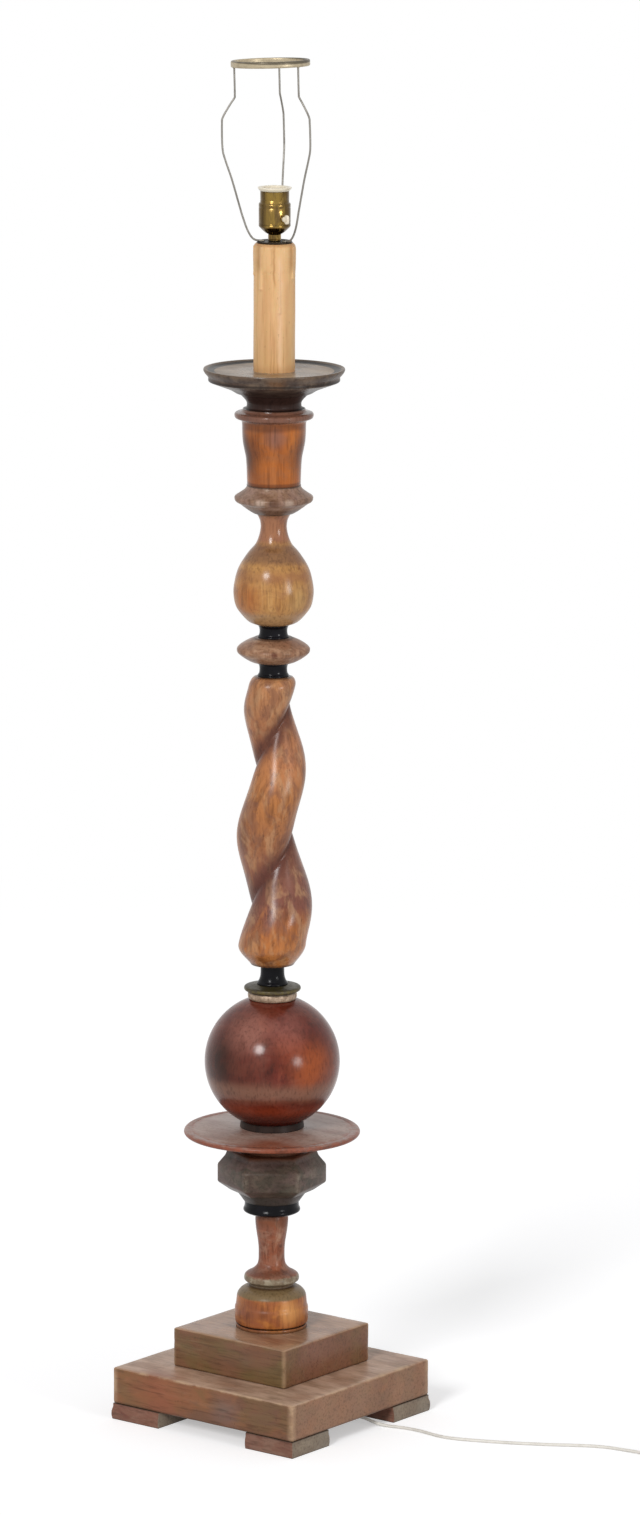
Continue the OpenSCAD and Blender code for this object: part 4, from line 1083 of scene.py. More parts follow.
class LAMP_OT_base_turnings(bpy.types.Operator):
    """Turns the drum, the stem and the black collar over it"""
    bl_idname = "lamp.base_turnings"
    bl_label = "Drum, stem and collar"

    def execute(self, context):
        r, low, high = reach("base_drum")
        drum = turned("base_drum", "drum", DRUM)
        tall = high - low
        settle(drum, "lamp", wood(
            "orange_drum_wood", colours().drum, deep="6d3c20",
            pale="bd7a42", tone="80462a", seed=2.2, gloss=0.3,
            shine=0.22, ends=(low, high), coarse=1.2, fleck=0.2,
            clouds=(("b9763c", 60, 0.5), ("8c5038", 45, 0.45)),
            bands=[(low + 0.78*tall, high + 0.01, 1.5*MM, "6c6044", 0.85),
                   (low + 0.075*tall, low + 0.12*tall, 0.8*MM, "1c120c", 0.9),
                   (low - 0.01, low + 0.06*tall, 0.8*MM, "5d4632", 0.6)],
            spots=[(facing(-32*MM, low + 0.5*tall, r), 0.024, "7c4c3a", 0.7),
                   (facing(-10*MM, low + 0.45*tall, r), 0.01, "6c3a1c", 0.7),
                   (facing(24*MM, low + 0.5*tall, r), 0.024, "cc9052", 0.75)]),
            "wood_drum", "base_drum")

        r, low, high = reach("base_stem")
        stem = turned("base_stem", "stem", STEM)
        tall = high - low
        settle(stem, "lamp", wood(
            "red_stem_wood", colours().stem, deep="4e2c1e",
            pale="a58068", tone="7c4a38", seed=5.6, gloss=0.34,
            shine=0.22, ends=(low, high), coarse=1.3, grain=(1, 1, 0.3),
            clouds=(("97705c", 75, 0.55), ("8c4a2c", 60, 0.5)),
            wear=(0.9*r, r, "a59a84"),
            bands=[(low - 0.01, low + 0.15*tall, 1.5*MM, "6b6450", 0.75),
                   (low + 0.17*tall, low + 0.24*tall, 2*MM, "5c3626", 0.45),
                   (high - 14*MM, high + 0.01, 4*MM, "6e3f26", 0.6)]),
            "wood_stem", "base_stem")

        collar = turned("low_collar", "stem_collar", LOW_COLLAR)
        settle(collar, "lamp", lacquer(), "black_lacquer", "low_collar")
        return {"FINISHED"}


class LAMP_OT_knop(bpy.types.Operator):
    """Makes the six-sided knop with its round foot and neck"""
    bl_idname = "lamp.knop"
    bl_label = "Six-sided knop"

    def execute(self, context):
        low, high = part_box("hex_knop")
        tall = high.z - low.z
        radius = (high.y - low.y)/2/math.cos(math.radians(KNOP_TURN))
        rest()
        bpy.ops.mesh.primitive_circle_add(
            vertices=6, radius=radius*KNOP[0][0], fill_type="NGON",
            location=(0, 0, low.z + KNOP[0][1]*tall),
            rotation=(0, 0, math.radians(KNOP_TURN)))
        slab = named("knop_facets")
        edit("FACE")
        for (w0, h0), (w1, h1) in zip(KNOP, KNOP[1:]):
            pull(0, 0, (h1 - h0)*tall)
            if w1 != w0:
                bpy.ops.transform.resize(
                    value=(w1/w0, w1/w0, 1),
                    center_override=(0, 0, low.z + h1*tall))
        done()
        cleaned(slab)
        bevelled(slab, 1.6*MM, 3, 15)
        foot_r = reach("low_collar")[0]
        neck_r = 38*MM
        z = [low.z + share*tall for share in (0, 0.144, 0.762, 1)]
        core = lathe("knop_core", [
            (BORE, z[0]), (foot_r - 0.6*MM, z[0]), (foot_r, z[0] + 0.8*MM),
            (0.66*radius, z[1] + 2*MM), (30*MM, z[1] + 2*MM),
            (30*MM, z[2] - 2*MM), (neck_r, z[2] - 2*MM),
            (neck_r, z[3] - 0.6*MM), (neck_r - 0.6*MM, z[3]), (BORE, z[3])])
        cut(slab, rod(29.9*MM, z[1] + 1.9*MM, z[2] - 1.9*MM, sides=64),
            core, operation="UNION")
        cut(slab, rod(BORE, z[0] - 0.01, z[3] + 0.01, sides=48))
        soft(cleaned(slab, 1e-6), 30)
        slab.name = "knop"
        finish = wood(
            "worn_knop_wood", colours().knop, deep="382e28",
            pale="7a6c5e", tone="594640", tone_share=0.45,
            seed=11.3, gloss=0.38, shine=0.18, ends=(z[0], z[3]), fleck=0.4,
            grain=(1, 0.3, 1), wear=(0.95*radius, radius, "857a6c"),
            clouds=(("6c5c50", 60, 0.5), ("46443a", 70, 0.55),
                    ("6a5350", 40, 0.45)),
            # A darker brown patch on the front facets: painted reflection of
            # the disc above.
            spots=[(facing(0, (z[1] + z[2])/2, radius), 0.04, "33291f", 0.7)],
            bands=[(z[2] - 2*MM, z[3] + 0.01, 3*MM, "5e3620", 0.85),
                   (z[0] - 0.01, z[1] + MM, 3*MM, "33302e", 0.7)])
        settle(slab, "lamp", finish, "wood_knop", "hex_knop")
        return {"FINISHED"}


BALL_FLAT = 9*MM


def ball_middle(ball_r):
    """The height of the ball's centre. Its flat foot stands on the disc."""
    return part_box("wide_disc")[1].z + math.sqrt(ball_r**2 - BALL_FLAT**2)


class LAMP_OT_disc(bpy.types.Operator):
    """Turns the wide disc and the cupped seat on it"""
    bl_idname = "lamp.disc"
    bl_label = "Wide disc and seat"

    def execute(self, context):
        r, low, high = reach("wide_disc")
        lip = 3.5*MM
        seat_r = reach("ball_seat")[0] - MM
        edge = [(r - lip + lip*math.cos(math.radians(a)),
                 low + lip + 0.9*lip*math.sin(math.radians(a)))
                for a in range(-60, 91, 10)]
        outline = [(BORE, low), (r - 16*MM, low), (r - 5*MM, low + 0.6*MM)] \
            + edge + [
                (r - 9*MM, low + 6.6*MM), (r - 9.6*MM, low + 6.3*MM),
                (r - 10.4*MM, low + 6.6*MM), (seat_r + 6*MM, high - 1.2*MM),
                (seat_r + MM, high), (BORE, high)]
        disc = lathe("disc", outline, 128)
        settle(disc, "lamp", wood(
            "rose_disc_wood", colours().disc, deep="4c2a1f",
            pale="9c7a68", tone="6e5148", tone_share=0.5,
            grain=(1, 0.14, 1), seed=4.4, gloss=0.3, shine=0.25, fleck=0.3,
            coarse=0.8, wear=(r - 18*MM, r - 9*MM, "8a4a34"), wear_share=0.8,
            dust_and_sheen=("a89084", 0.85),
            spots=[(viewed(0, r - 16*MM, low + 7*MM), 0.05,
                    "7c3c20", 0.8)]), "wood_disc", "wide_disc")

        wide, z0, z1 = reach("ball_seat")
        # The seat follows the ball with a hair's breadth of room.
        ball_r = reach("ball")[0]
        centre = ball_middle(ball_r)
        hold = ball_r + 0.3*MM
        hole = 17*MM
        cupped = []
        for i in range(9):
            x = (wide - MM) + (hole - (wide - MM))*i/8
            cupped.append((x, max(z0 + 3.2*MM,
                                  centre - math.sqrt(hold**2 - x**2))))
        seat = lathe("seat", [
            (hole, z0), (wide - 0.3*MM, z0), (wide, z0 + 0.5*MM),
            (wide - 0.5*MM, (z0 + z1)/2), (wide - MM, z1 - 0.4*MM)] + cupped)
        settle(seat, "lamp", wood(
            "dark_seat_wood", "2a1d18", deep="120c0a",
            pale="4c3930", seed=9.9, gloss=0.4, shine=0.15,
            ends=(z0, z1), seam=0.5), "dark_wood", "ball_seat")
        return {"FINISHED"}


class LAMP_OT_ball(bpy.types.Operator):
    """Turns the ball and the gilt ring on it"""
    bl_idname = "lamp.ball"
    bl_label = "Ball and gilt ring"

    def execute(self, context):
        r, low, high = reach("ball")
        middle = ball_middle(r)
        first = -math.acos(BALL_FLAT/r)
        last = math.asin((high - middle)/r)
        arc = [(r*math.cos(first + (last - first)*i/80),
                middle + r*math.sin(first + (last - first)*i/80))
               for i in range(81)]
        ball = lathe("round_ball", [(BORE, arc[0][1])] + arc
                     + [(BORE, arc[-1][1])], 144)
        settle(ball, "lamp", wood(
            "red_ball_varnish", colours().ball, deep="441a11",
            pale="84402c", tone="4c241c", tone_share=0.5,
            seed=7.7, gloss=0.2, shine=0.22, coarse=0.7, fleck=0.1,
            grain=(1, 1, 0.5), clouds=(("7c4a3c", 30, 0.4),
                                       ("5c2414", 36, 0.5)),
            # Painted light and shade: orange lit patches on the right, dark
            # shade down the left, and pale painted reflections near the top.
            spots=[(facing(52*MM, middle + 4*MM, r), 0.05, "9c4c22", 0.85),
                   (facing(24*MM, middle + 40*MM, r), 0.03, "94462a", 0.6),
                   (facing(-66*MM, middle + 8*MM, r), 0.055, "2e1408", 0.95),
                   (facing(-34*MM, middle + 58*MM, r), 0.05, "9c6a5c", 0.8),
                   (facing(26*MM, middle + 66*MM, r), 0.045, "9c665c", 0.75),
                   (facing(-30*MM, middle - 2*MM, r), 0.035, "5c2a1c", 0.6)],
            # A pale band below the middle is a painted reflection; the dark
            # bottom band is painted shade under the ball.
            bands=[(middle - 34*MM, middle - 16*MM, 8*MM, "84604c", 0.6),
                   (middle - 56*MM, middle - 44*MM, 6*MM, "8a3418", 0.5),
                   (middle - 90*MM, middle - 58*MM, 9*MM, "480e04", 0.85)]),
            "wood_ball", "ball")

        gilt_r, low, high = reach("gilt_ring")
        ring = turned("gilt_ring", "gilded_ring", GILT, sides=192)
        # A row of small round-headed flutes runs round the lower band.
        for vertex in ring.data.vertices:
            co = vertex.co
            across = math.hypot(co.x, co.y)
            share = (co.z - low)/(high - low)
            swell = max(0, 1 - abs(share - 0.25)/0.2)
            if across > 0.7*gilt_r and swell > 0:
                turn = math.atan2(co.y, co.x)
                dip = 0.8*MM*swell*abs(math.cos(16*turn))**0.7
                co.x *= 1 + (dip - 0.8*MM*swell)/across
                co.y *= 1 + (dip - 0.8*MM*swell)/across
        settle(soft(ring, 30), "lamp", self.gilding(low, high), "gilt",
               "gilt_ring")
        return {"FINISHED"}

    @staticmethod
    def gilding(low, high):
        f = Finish("rubbed_gilding")
        tall = high - low
        z = f.axis("Z")
        rub = f.noise(f.place(), 150, 5.0, 0.68)
        colour = f.mix(f.span(rub, 0.4, 0.62), tuple(colours().gilt),
                       "4a4030")
        lower = f.band(z, low + 0.02*tall, low + 0.5*tall, 0.6*MM)
        pale = f.mix(f.span(rub, 0.38, 0.62), "b39c86", "86705c")
        colour = f.mix(lower, colour, pale)
        groove = f.band(z, low + 0.46*tall, low + 0.58*tall, 0.7*MM)
        colour = f.over(colour, groove, 0.75, "1d1812")
        foot = f.span(z, low, low + 1.2*MM, 0.9, 0.0)
        colour = f.mix(foot, colour, "140d0a")
        head = f.span(z, low + 0.72*tall, low + 0.9*tall, 0.0, 0.75)
        colour = f.mix(head, colour, "262212")
        f.bump(rub, 0.25, 0.6*MM)
        return f.surface(Base_Color=colour, Metallic=0.25,
                         Specular_IOR_Level=0.3,
                         Roughness=f.span(rub, 0.3, 0.7, 0.35, 0.5))


class LAMP_OT_collars(bpy.types.Operator):
    """Turns the three small black collars along the column"""
    bl_idname = "lamp.collars"
    bl_label = "Black collars"

    def execute(self, context):
        finish = bpy.data.materials["glossy_black_lacquer"]
        for node in ("twist_collar_low", "twist_collar_high", "pear_collar"):
            shape = WAISTED if node == "twist_collar_low" else COLLAR
            collar = turned(node, node + "_lacquered", shape, sides=72)
            settle(collar, "lamp", finish, "black_lacquer", node)
        return {"FINISHED"}


class LAMP_OT_twist(bpy.types.Operator):
    """Carves the twisted column: a strand off the axis and a sharp groove"""
    bl_idname = "lamp.twist"
    bl_label = "Twisted column"

    def execute(self, context):
        low, high = (corner.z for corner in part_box("twist_column"))
        self.tall = high - low
        self.collar_r = reach("twist_collar_low")[0]
        column = blank("twisted_column", 30*MM, BORE, low, high, 190, 88)
        depth = column.data.attributes.new("carved", "FLOAT", "POINT")
        for vertex in column.data.vertices:
            co = vertex.co
            across = math.hypot(co.x, co.y)
            if across < 20*MM:
                continue
            turn = math.degrees(math.atan2(co.y, co.x)) % 360
            # Rings gather towards the ends, where the shape turns in.
            t = (high - co.z)/self.tall
            t -= 0.0275*math.sin(4*math.pi*t)
            s = t*self.tall
            r, deep = self.radius(turn, s)
            co.z = high - s
            chisel = noise.noise(Vector((co.x*60, co.y*60, co.z*22)))
            r += 0.35*MM*chisel*min(1, s/0.02, (self.tall - s)/0.02)
            co.x, co.y = co.x*r/across, co.y*r/across
            depth.data[vertex.index].value = deep
        settle(soft(cleaned(column, 1e-6), 50), "lamp",
               self.finish(low, high), "wood_twist", "twist_column")
        return {"FINISHED"}

    def radius(self, turn, s):
        """The twist's radius and how deep it is carved, s below the top."""
        tall = self.tall
        p0, p1 = sizes().pitch_top, sizes().pitch_foot
        top_wide, foot_wide = 55.5*MM, 83.5*MM
        wide = (top_wide + (foot_wide - top_wide)*s/tall)/2
        top = self.rounded(s, 11*MM)
        foot = math.sin(math.pi/2*min(1, max(0, tall - s)/(25*MM)))**1.2
        fade = (math.sin(min(1, s/(50*MM))*math.pi/2)
                * math.sin(min(1, (tall - s)/(80*MM))*math.pi/2))
        fade = max(0, fade)
        turns = tall/(p1 - p0)*math.log(1 + (p1 - p0)*s/(tall*p0))
        off = 0.23*wide*fade
        gap = abs((turn - 120.6 + 360*turns + 540) % 360 - 180)
        a = math.radians(gap)
        round_r = -off*math.cos(a) + math.sqrt(wide**2 - (off*math.sin(a))**2)
        groove = sizes().groove_depth*fade*math.exp(-gap/28)
        end_r = self.collar_r + (1.5*MM if s < tall/2 else 7.5*MM)
        r = end_r + (round_r - groove - end_r)*top*foot
        return r, min(1, max(0, (wide - r)/wide*2.2))*min(1, fade*1.5)

    @staticmethod
    def rounded(x, width):
        """Rises from 0 to 1 over a width, as a quarter circle."""
        x = max(0, x)
        return 1 if x >= width else math.sqrt(1 - (1 - x/width)**2)

    @staticmethod
    def finish(low, high):
        f = Finish("golden_twist_wood")
        way = f.place((1, 1, 0.13), (3.3, 1.9, 0.4))
        figure = f.noise(way, 75, 6.0, 0.62, 0.7)
        cloud = f.noise(f.place((1, 1, 0.5), (0.3, 5.1, 2.2)), 16, 3.0, 0.55,
                        0.5)
        z = f.sum("ADD", f.axis("Z"), f.span(cloud, 0.3, 0.7, -0.02, 0.02))
        height = f.span(z, low, high)
        height.node.interpolation_type = "LINEAR"
        tone = f.ramp(height, (0.0, "b0703c"), (0.12, "b06a34"),
                      (0.2, "764436"), (0.32, "7e4e3e"),
                      (0.45, "965f3c"), (0.62, "b0713e"),
                      (0.76, "b2744c"), (0.85, "a66c46"),
                      (1.0, "b47c50"))
        light = f.lined(tone, figure, 0.3, (0.5, 0.46, 0.42, 1), 0.7)
        colour = f.mix(f.span(figure, 0.55, 0.74, 0.0, 0.5), light,
                       shade(colours().twist, 1.4))
        for code, size, share in (("b68c66", 60, 0.5), ("6e4638", 75, 0.5)):
            patch = f.noise(f.place((1, 1, 0.5), (size, 1.3, 0.2)), size, 3.0,
                            0.6, 0.5)
            colour = f.stain(colour, patch, 0.46, 0.64, share, code)
        deep = f.add("Attribute", {"attribute_name": "carved"}).outputs["Fac"]
        colour = f.stain(colour, deep, 0.25, 0.85, 0.85, "52261a")
        fibre = f.noise(f.place((1, 1, 0.07)), 330, 4.0, 0.6)
        colour = f.lined(colour, fibre, 0.32, (0.7, 0.66, 0.62, 1), 0.8)
        marks = f.noise(f.place((1, 1, 0.6)), 190, 3.0, 0.7)
        colour = f.stain(colour, marks, 0.62, 0.7, 0.4, "3a2114")
        # Darker towards both ends of the column.
        darker_ends = f.sum("MAXIMUM", f.span(f.axis("Z"), low, low + 5*MM, 0.8, 0.0),
                     f.span(f.axis("Z"), high - 2*MM, high, 0.0, 0.8))
        colour = f.mix(darker_ends, colour, "2a1a10")
        f.bump(f.sum("ADD", f.sum("MULTIPLY", figure, 0.7),
                     f.sum("MULTIPLY", fibre, 0.3)), 0.25, 0.6*MM)
        return f.surface(Base_Color=colour, Specular_IOR_Level=0.3,
                         Roughness=f.span(cloud, 0.3, 0.7, 0.22, 0.34))


# ----------------------------------------------------------- upper turnings

class LAMP_OT_upper_turnings(bpy.types.Operator):
    """Turns the flat bead, the pear and the moulded ring over it"""
    bl_idname = "lamp.upper_turnings"
    bl_label = "Bead, pear and ring"

    def execute(self, context):
        tan = colours().tan
        r, low, high = reach("flat_bead")
        bead = turned("flat_bead", "bead", BEAD)
        settle(bead, "lamp", wood(
            "pale_bead_wood", "946c52", deep="6a4832",
            pale="b8947a", tone="8c6048", seed=6.3, gloss=0.32,
            shine=0.2, ends=(low, high), coarse=1.4, fleck=0.3,
            clouds=(("b49074", 90, 0.5), ("7c5a44", 110, 0.5)),
            spots=[(facing(MM, (low + high)/2, r), 0.006, "5c2418", 0.8),
                   # Painted shade at the left and right ends, low down.
                   (facing(-r, low, r), 0.016, "4a3024", 0.7),
                   (facing(r, low, r), 0.016, "4a3024", 0.7)]),
            "wood_pale", "flat_bead")

        r, low, high = reach("pear")
        tall = high - low
        pear = turned("pear", "pear_turning", PEAR)
        settle(pear, "lamp", wood(
            "golden_pear_wood", tan, deep="7a4d22", pale="cfa066",
            tone="9c6236", tone_share=0.5, seed=1.4, gloss=0.24,
            shine=0.3, ends=(low, high), coarse=1.1, fleck=0.25,
            clouds=(("be8c52", 55, 0.5), ("8a5c3c", 60, 0.45)),
            bands=[(low + 0.57*tall, low + 0.72*tall, 4*MM, "745038", 0.75),
                   (low + 0.74*tall, high, 4*MM, "95604a", 0.75),
                   (low + 0.42*tall, low + 0.5*tall, 4*MM, "94603a", 0.5),
                   (low - 0.01, low + 0.12*tall, 4*MM, "a88560", 0.6)],
            spots=[(facing(-34*MM, low + 0.25*tall, r), 0.034, "a8602a", 0.8),
                   (facing(30*MM, low + 0.25*tall, r), 0.024, "be9860", 0.5)]),
            "wood_pale", "pear")

        r, low, high = reach("cup_ring")
        ring = turned("cup_ring", "cup_moulding", CUP_RING)
        settle(ring, "lamp", wood(
            "greyish_ring_wood", colours().ring, deep="5c463a",
            pale="b8a08e", tone="806454", tone_share=0.5,
            seed=12.5, gloss=0.34, shine=0.2, ends=(low, high), coarse=1.5,
            fleck=0.4, clouds=(("a8887a", 90, 0.5), ("6c4c3a", 100, 0.4)),
            spots=[(facing(0, (low + high)/2, r), 0.011, "563626", 0.75),
                   # Painted highlights, pale, left and right of the middle.
                   (facing(-18*MM, (low + high)/2, r), 0.009, "c2ac9c", 0.6),
                   (facing(18*MM, (low + high)/2, r), 0.009, "bca696", 0.6)],
            bands=[(low - 0.01, low + 0.22*(high - low), 2*MM, "4a3020",
                    0.6)]),
            "wood_ring", "cup_ring")
        return {"FINISHED"}


class LAMP_OT_cup(bpy.types.Operator):
    """Turns the candle cup with its thin rim"""
    bl_idname = "lamp.cup"
    bl_label = "Candle cup"

    def execute(self, context):
        r, low, high = reach("candle_cup")
        tall = high - low
        cup = turned("candle_cup", "cup", CUP)
        settle(cup, "lamp", wood(
            "orange_cup_wood", colours().cup, deep="5c2c12",
            pale="c97c3c", tone="7c4020", tone_share=0.6,
            grain=(1, 1, 0.05), seed=10.8, gloss=0.17, shine=0.26,
            ends=(low, high), coarse=1.1, fleck=0.2,
            clouds=(("96603c", 45, 0.45),),
            bands=[(low + 0.845*tall, high + 0.01, 1.2*MM, "6e5046", 0.85),
                   # Painted shade under the flaring rim.
                   (low + 0.74*tall, low + 0.845*tall, 3*MM, "4a2414", 0.55),
                   (low - 0.01, low + 0.05*tall, 1.5*MM, "4a2412", 0.6)],
            # Painted light and shade: an orange lit patch left of the middle
            # and dark shade down both sides.
            spots=[(facing(-14*MM, low + 0.3*tall, 0.7*r), 0.018, "bc6c2e",
                    0.7),
                   (facing(-0.74*r, low + 0.45*tall, 0.75*r), 0.048, "4a2610",
                    0.95),
                   (facing(0.74*r, low + 0.45*tall, 0.75*r), 0.04, "5a3420",
                    0.9),
                   (facing(2*MM, low + 0.66*tall, 0.78*r), 0.02, "7c5a54",
                    0.6)]),
            "wood_cup", "candle_cup")
        return {"FINISHED"}


# ----------------------------------------------------------- pan and candle

class LAMP_OT_pan(bpy.types.Operator):
    """Turns the dark neck and the hollow drip pan"""
    bl_idname = "lamp.pan"
    bl_label = "Neck and drip pan"

    def execute(self, context):
        r, low, high = reach("pan_neck")
        neck = turned("pan_neck", "neck", PAN_NECK)
        settle(neck, "lamp", wood(
            "dark_neck_wood", "3a2823", deep="1e1411",
            pale="4a3228", seed=3.7, gloss=0.34, shine=0.12,
            ends=(low, high), fleck=0.3), "dark_wood", "pan_neck")

        r, low, high = reach("drip_pan")
        tall = high - low
        wall = 3.5*MM
        floor = low + 26*MM
        outside = [(p[0]*r, low + p[1]*tall) for p in spline(PAN)]
        inside = spline([(r - 0.3*wall, high), (r - 0.75*wall, high - 0.1*MM),
                         (r - wall, high - 0.7*MM),
                         (r - wall - 2*MM, high - 1.6*MM),
                         (r - wall - 5*MM, floor + 0.3*MM),
                         (r - wall - 9*MM, floor)], 4)
        pan = lathe("pan", [(BORE, low)] + outside + inside + [(BORE, floor)],
                    144)
        settle(pan, "lamp", wood(
            "dark_pan_wood", colours().pan, deep="241a16",
            pale="786658", tone="58443a", tone_share=0.5,
            seed=13.2, gloss=0.3, shine=0.18, coarse=1.1, fleck=0.4,
            grain=(1, 1, 0.4), clouds=(("84715f", 55, 0.5),
                                       ("463830", 60, 0.4)),
            dust_and_sheen=("a8937a", 0.85), wear=(0.955*r, r, "6b5848"),
            wear_share=0.7,
            # Painted reflection of the candle on the pan's floor in front of
            # it.
            spots=[(viewed(0, 0.045, floor), 0.022, "8c6438", 0.8),
                   (facing(3*MM, high - 6*MM, 0.95*r), 0.018, "7c5634", 0.6)],
            bands=[(low - 0.01, low + 0.34*tall, 6*MM, "2c1e19", 0.75),
                   (low + 0.5*tall, low + 0.6*tall, 1.2*MM, "211915", 0.8),
                   (high - 2*MM, high + 0.01, 0.8*MM, "5e5044", 0.8),
                   # Painted shade on the inside of the pan's wall.
                   (floor - MM, high - 1.2*MM, 0.5*MM, "15110f", 0.95,
                    r - 13*MM, r - 4*MM)]),
            "pan_wood", "drip_pan")
        return {"FINISHED"}


WAX_R = 24.8*MM

# Angle in degrees, length and radius in millimetres of each run of wax.
WAX_RUNS = [(-92, 46, 3.4), (-38, 74, 2.8), (8, 34, 3.2), (62, 58, 3),
            (128, 40, 3.4), (190, 66, 2.8), (232, 30, 3)]

# How far the sleeve's side stands out at a share of its height, in
# millimetres, where the lip is WAX_LIP high.
WAX_LIP = 0.7
WAX_EDGE = [(0, 0), (0.3, 0), (0.74, 0), (0.8, 0.4), (0.9, 0.7), (0.95, 0.6),
            (0.98, -0.3), (1, -2.6)]


class LAMP_OT_candle(bpy.types.Operator):
    """Makes the candle sleeve with a melted lip and runs of wax"""
    bl_idname = "lamp.candle"
    bl_label = "Candle sleeve"

    def execute(self, context):
        low, high = (corner.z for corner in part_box("candle_sleeve"))
        tall = high - low
        bore = 16*MM
        sleeve = blank("wax_sleeve", WAX_R, bore, low, high, 130, 168)
        edge = spline(WAX_EDGE, 6)
        for vertex in sleeve.data.vertices:
            co = vertex.co
            across = math.hypot(co.x, co.y)
            if across < WAX_R - MM:
                continue
            share = (co.z - low)/tall
            share += 0.02*math.sin(math.pi*share)
            s = share*tall
            turn = math.atan2(co.y, co.x)
            near = min(range(len(edge)), key=lambda i: abs(edge[i][0] - share))
            lip = edge[near][1]
            lip *= sizes().wax_lip/WAX_LIP if lip > 0 else MM
            out = max(lip, self.wax(turn, s, tall)) if share < 0.985 else lip
            wave = noise.noise(Vector((co.x*40, co.y*40, s*25)))
            out += 0.18*MM*wave
            co.z = low + s
            co.x, co.y = (c*(WAX_R + out)/across for c in (co.x, co.y))
        settle(soft(cleaned(sleeve, 1e-6), 60), "lamp",
               self.finish(low, high), "candle", "candle_sleeve")
        return {"FINISHED"}

    @staticmethod
    def wax(turn, s, tall):
        """How far a run of wax stands out at this place."""
        out = -1.0
        head = tall - 6*MM
        for degrees, length, width in WAX_RUNS:
            gap = (math.degrees(turn) - degrees + 540) % 360 - 180
            across = WAX_R/MM*math.radians(gap)
            below = (head - length*MM - s)/MM
            if below <= 0:
                share = min(1, -below/length)
                w = width*(1 - 0.12*math.sin(math.pi*share))
                room = w*w - across*across
            else:
                w = width + 0.3
                room = w*w - across*across - below*below
            if room > 0:
                out = max(out, math.sqrt(room) - 1.8)
        return max(out, 0)*MM

    @staticmethod
    def finish(low, high):
        tall = high - low
        wax = colours().wax
        f = Finish("streaked_wax")
        streak = f.noise(f.place((1, 1, 0.05), (1.1, 0.6, 0)), 160, 5.0, 0.65)
        cloud = f.noise(f.place((1, 1, 0.3)), 30, 3.0, 0.5)
        colour = f.ramp(streak, (0.3, "b98953"), (0.46, tuple(wax)),
                        (0.62, tuple(wax)), (0.75, "e8c79a"))
        colour = f.stain(colour, cloud, 0.45, 0.7, 0.5, "dfa97e")
        z = f.axis("Z")
        # Vertical streaks down the near side: the pale one right of the middle
        # is a painted highlight, the others are darker streaks in the wax.
        for across, low_z, high_z, width, code, share in (
                (-0.5, 0.68, 1.0, 1.8, "a6703c", 0.75),
                (-18.5, 0.8, 1.0, 5, "96642f", 0.75),
                (20.0, 0.8, 1.0, 4.4, "a3703c", 0.7),
                (6.5, 0.05, 0.9, 4, "efc7a2", 0.6),
                (-9.5, 0.0, 0.8, 5, "c4955c", 0.5),
                (15, 0.0, 0.7, 4, "c08f62", 0.4)):
            wander = f.span(f.noise(f.place((0, 0, 1)), 60, 2.0, 0.5), 0.3,
                            0.7, -0.8*MM, 0.8*MM)
            place = f.sum("ADD", f.along(RIGHT), wander)
            mask = f.band(place, (across - width/2)*MM, (across + width/2)*MM,
                          0.8*width*MM)
            mask = f.sum("MULTIPLY", mask, f.span(f.along(NEAR), 0, 3*MM))
            mask = f.sum("MULTIPLY", mask, f.band(
                z, low + low_z*tall, low + high_z*tall, 8*MM))
            colour = f.over(colour, mask, share, code)
        lip = f.span(f.round(), WAX_R + 0.35*MM, WAX_R + 1.2*MM)
        colour = f.over(colour, lip, 0.35, "e6bd8e")
        scorch = f.span(z, high - 5*MM, high, 0.0, 0.6)
        colour = f.mix(scorch, colour, "a8774a")
        foot = f.span(z, low, low + 12*MM, 0.35, 0.0)
        colour = f.mix(foot, colour, "a06a44")
        spots = f.noise(f.place((1, 1, 0.6)), 280, 4.0, 0.7)
        colour = f.stain(colour, spots, 0.62, 0.72, 0.4, "9c6f42")
        f.bump(f.sum("ADD", streak, cloud), 0.15, 0.6*MM)
        return f.surface(Base_Color=colour, Specular_IOR_Level=0.3,
                         Roughness=f.span(cloud, 0.3, 0.7, 0.4, 0.55),
                         Subsurface_Weight=0.06,
                         Subsurface_Scale=0.004)


# ----------------------------------------------------------- shade carrier

LEAN_TOWARDS = math.radians(165)
LEAN = 2.5

# Millimetres: the carrier's height, the wires' widest reach and their reach
# at the ring, and the ring's section.
CARRIER_TALL, CARRIER_WIDE, RING_MID = 216.5, 61.5, 44.75
RING_WIDE, RING_TALL = 4.5, 7.5


def leaning():
    """Turns the ring about the candle's top to the carrier's lean."""
    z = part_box("carrier_plate")[0].z
    turn = Matrix.Rotation(LEAN_TOWARDS, 4, "Z")
    return (Matrix.Translation((0, 0, z)) @ turn
            @ Matrix.Rotation(math.radians(LEAN), 4, "Y") @ turn.inverted()
            @ Matrix.Translation((0, 0, -z)))


def leaned(point, plate):
    """A wire's point, its lean taken up over the first bend. Millimetres."""
    x, y, z = point
    t = math.radians(LEAN*min(1, max(0, (z - plate - 4)/30)))
    n = Vector((math.cos(LEAN_TOWARDS), math.sin(LEAN_TOWARDS)))
    out = x*n.x + y*n.y
    move = out*(math.cos(t) - 1) + z*math.sin(t)
    return x + move*n.x, y + move*n.y, z*math.cos(t) - out*math.sin(t)


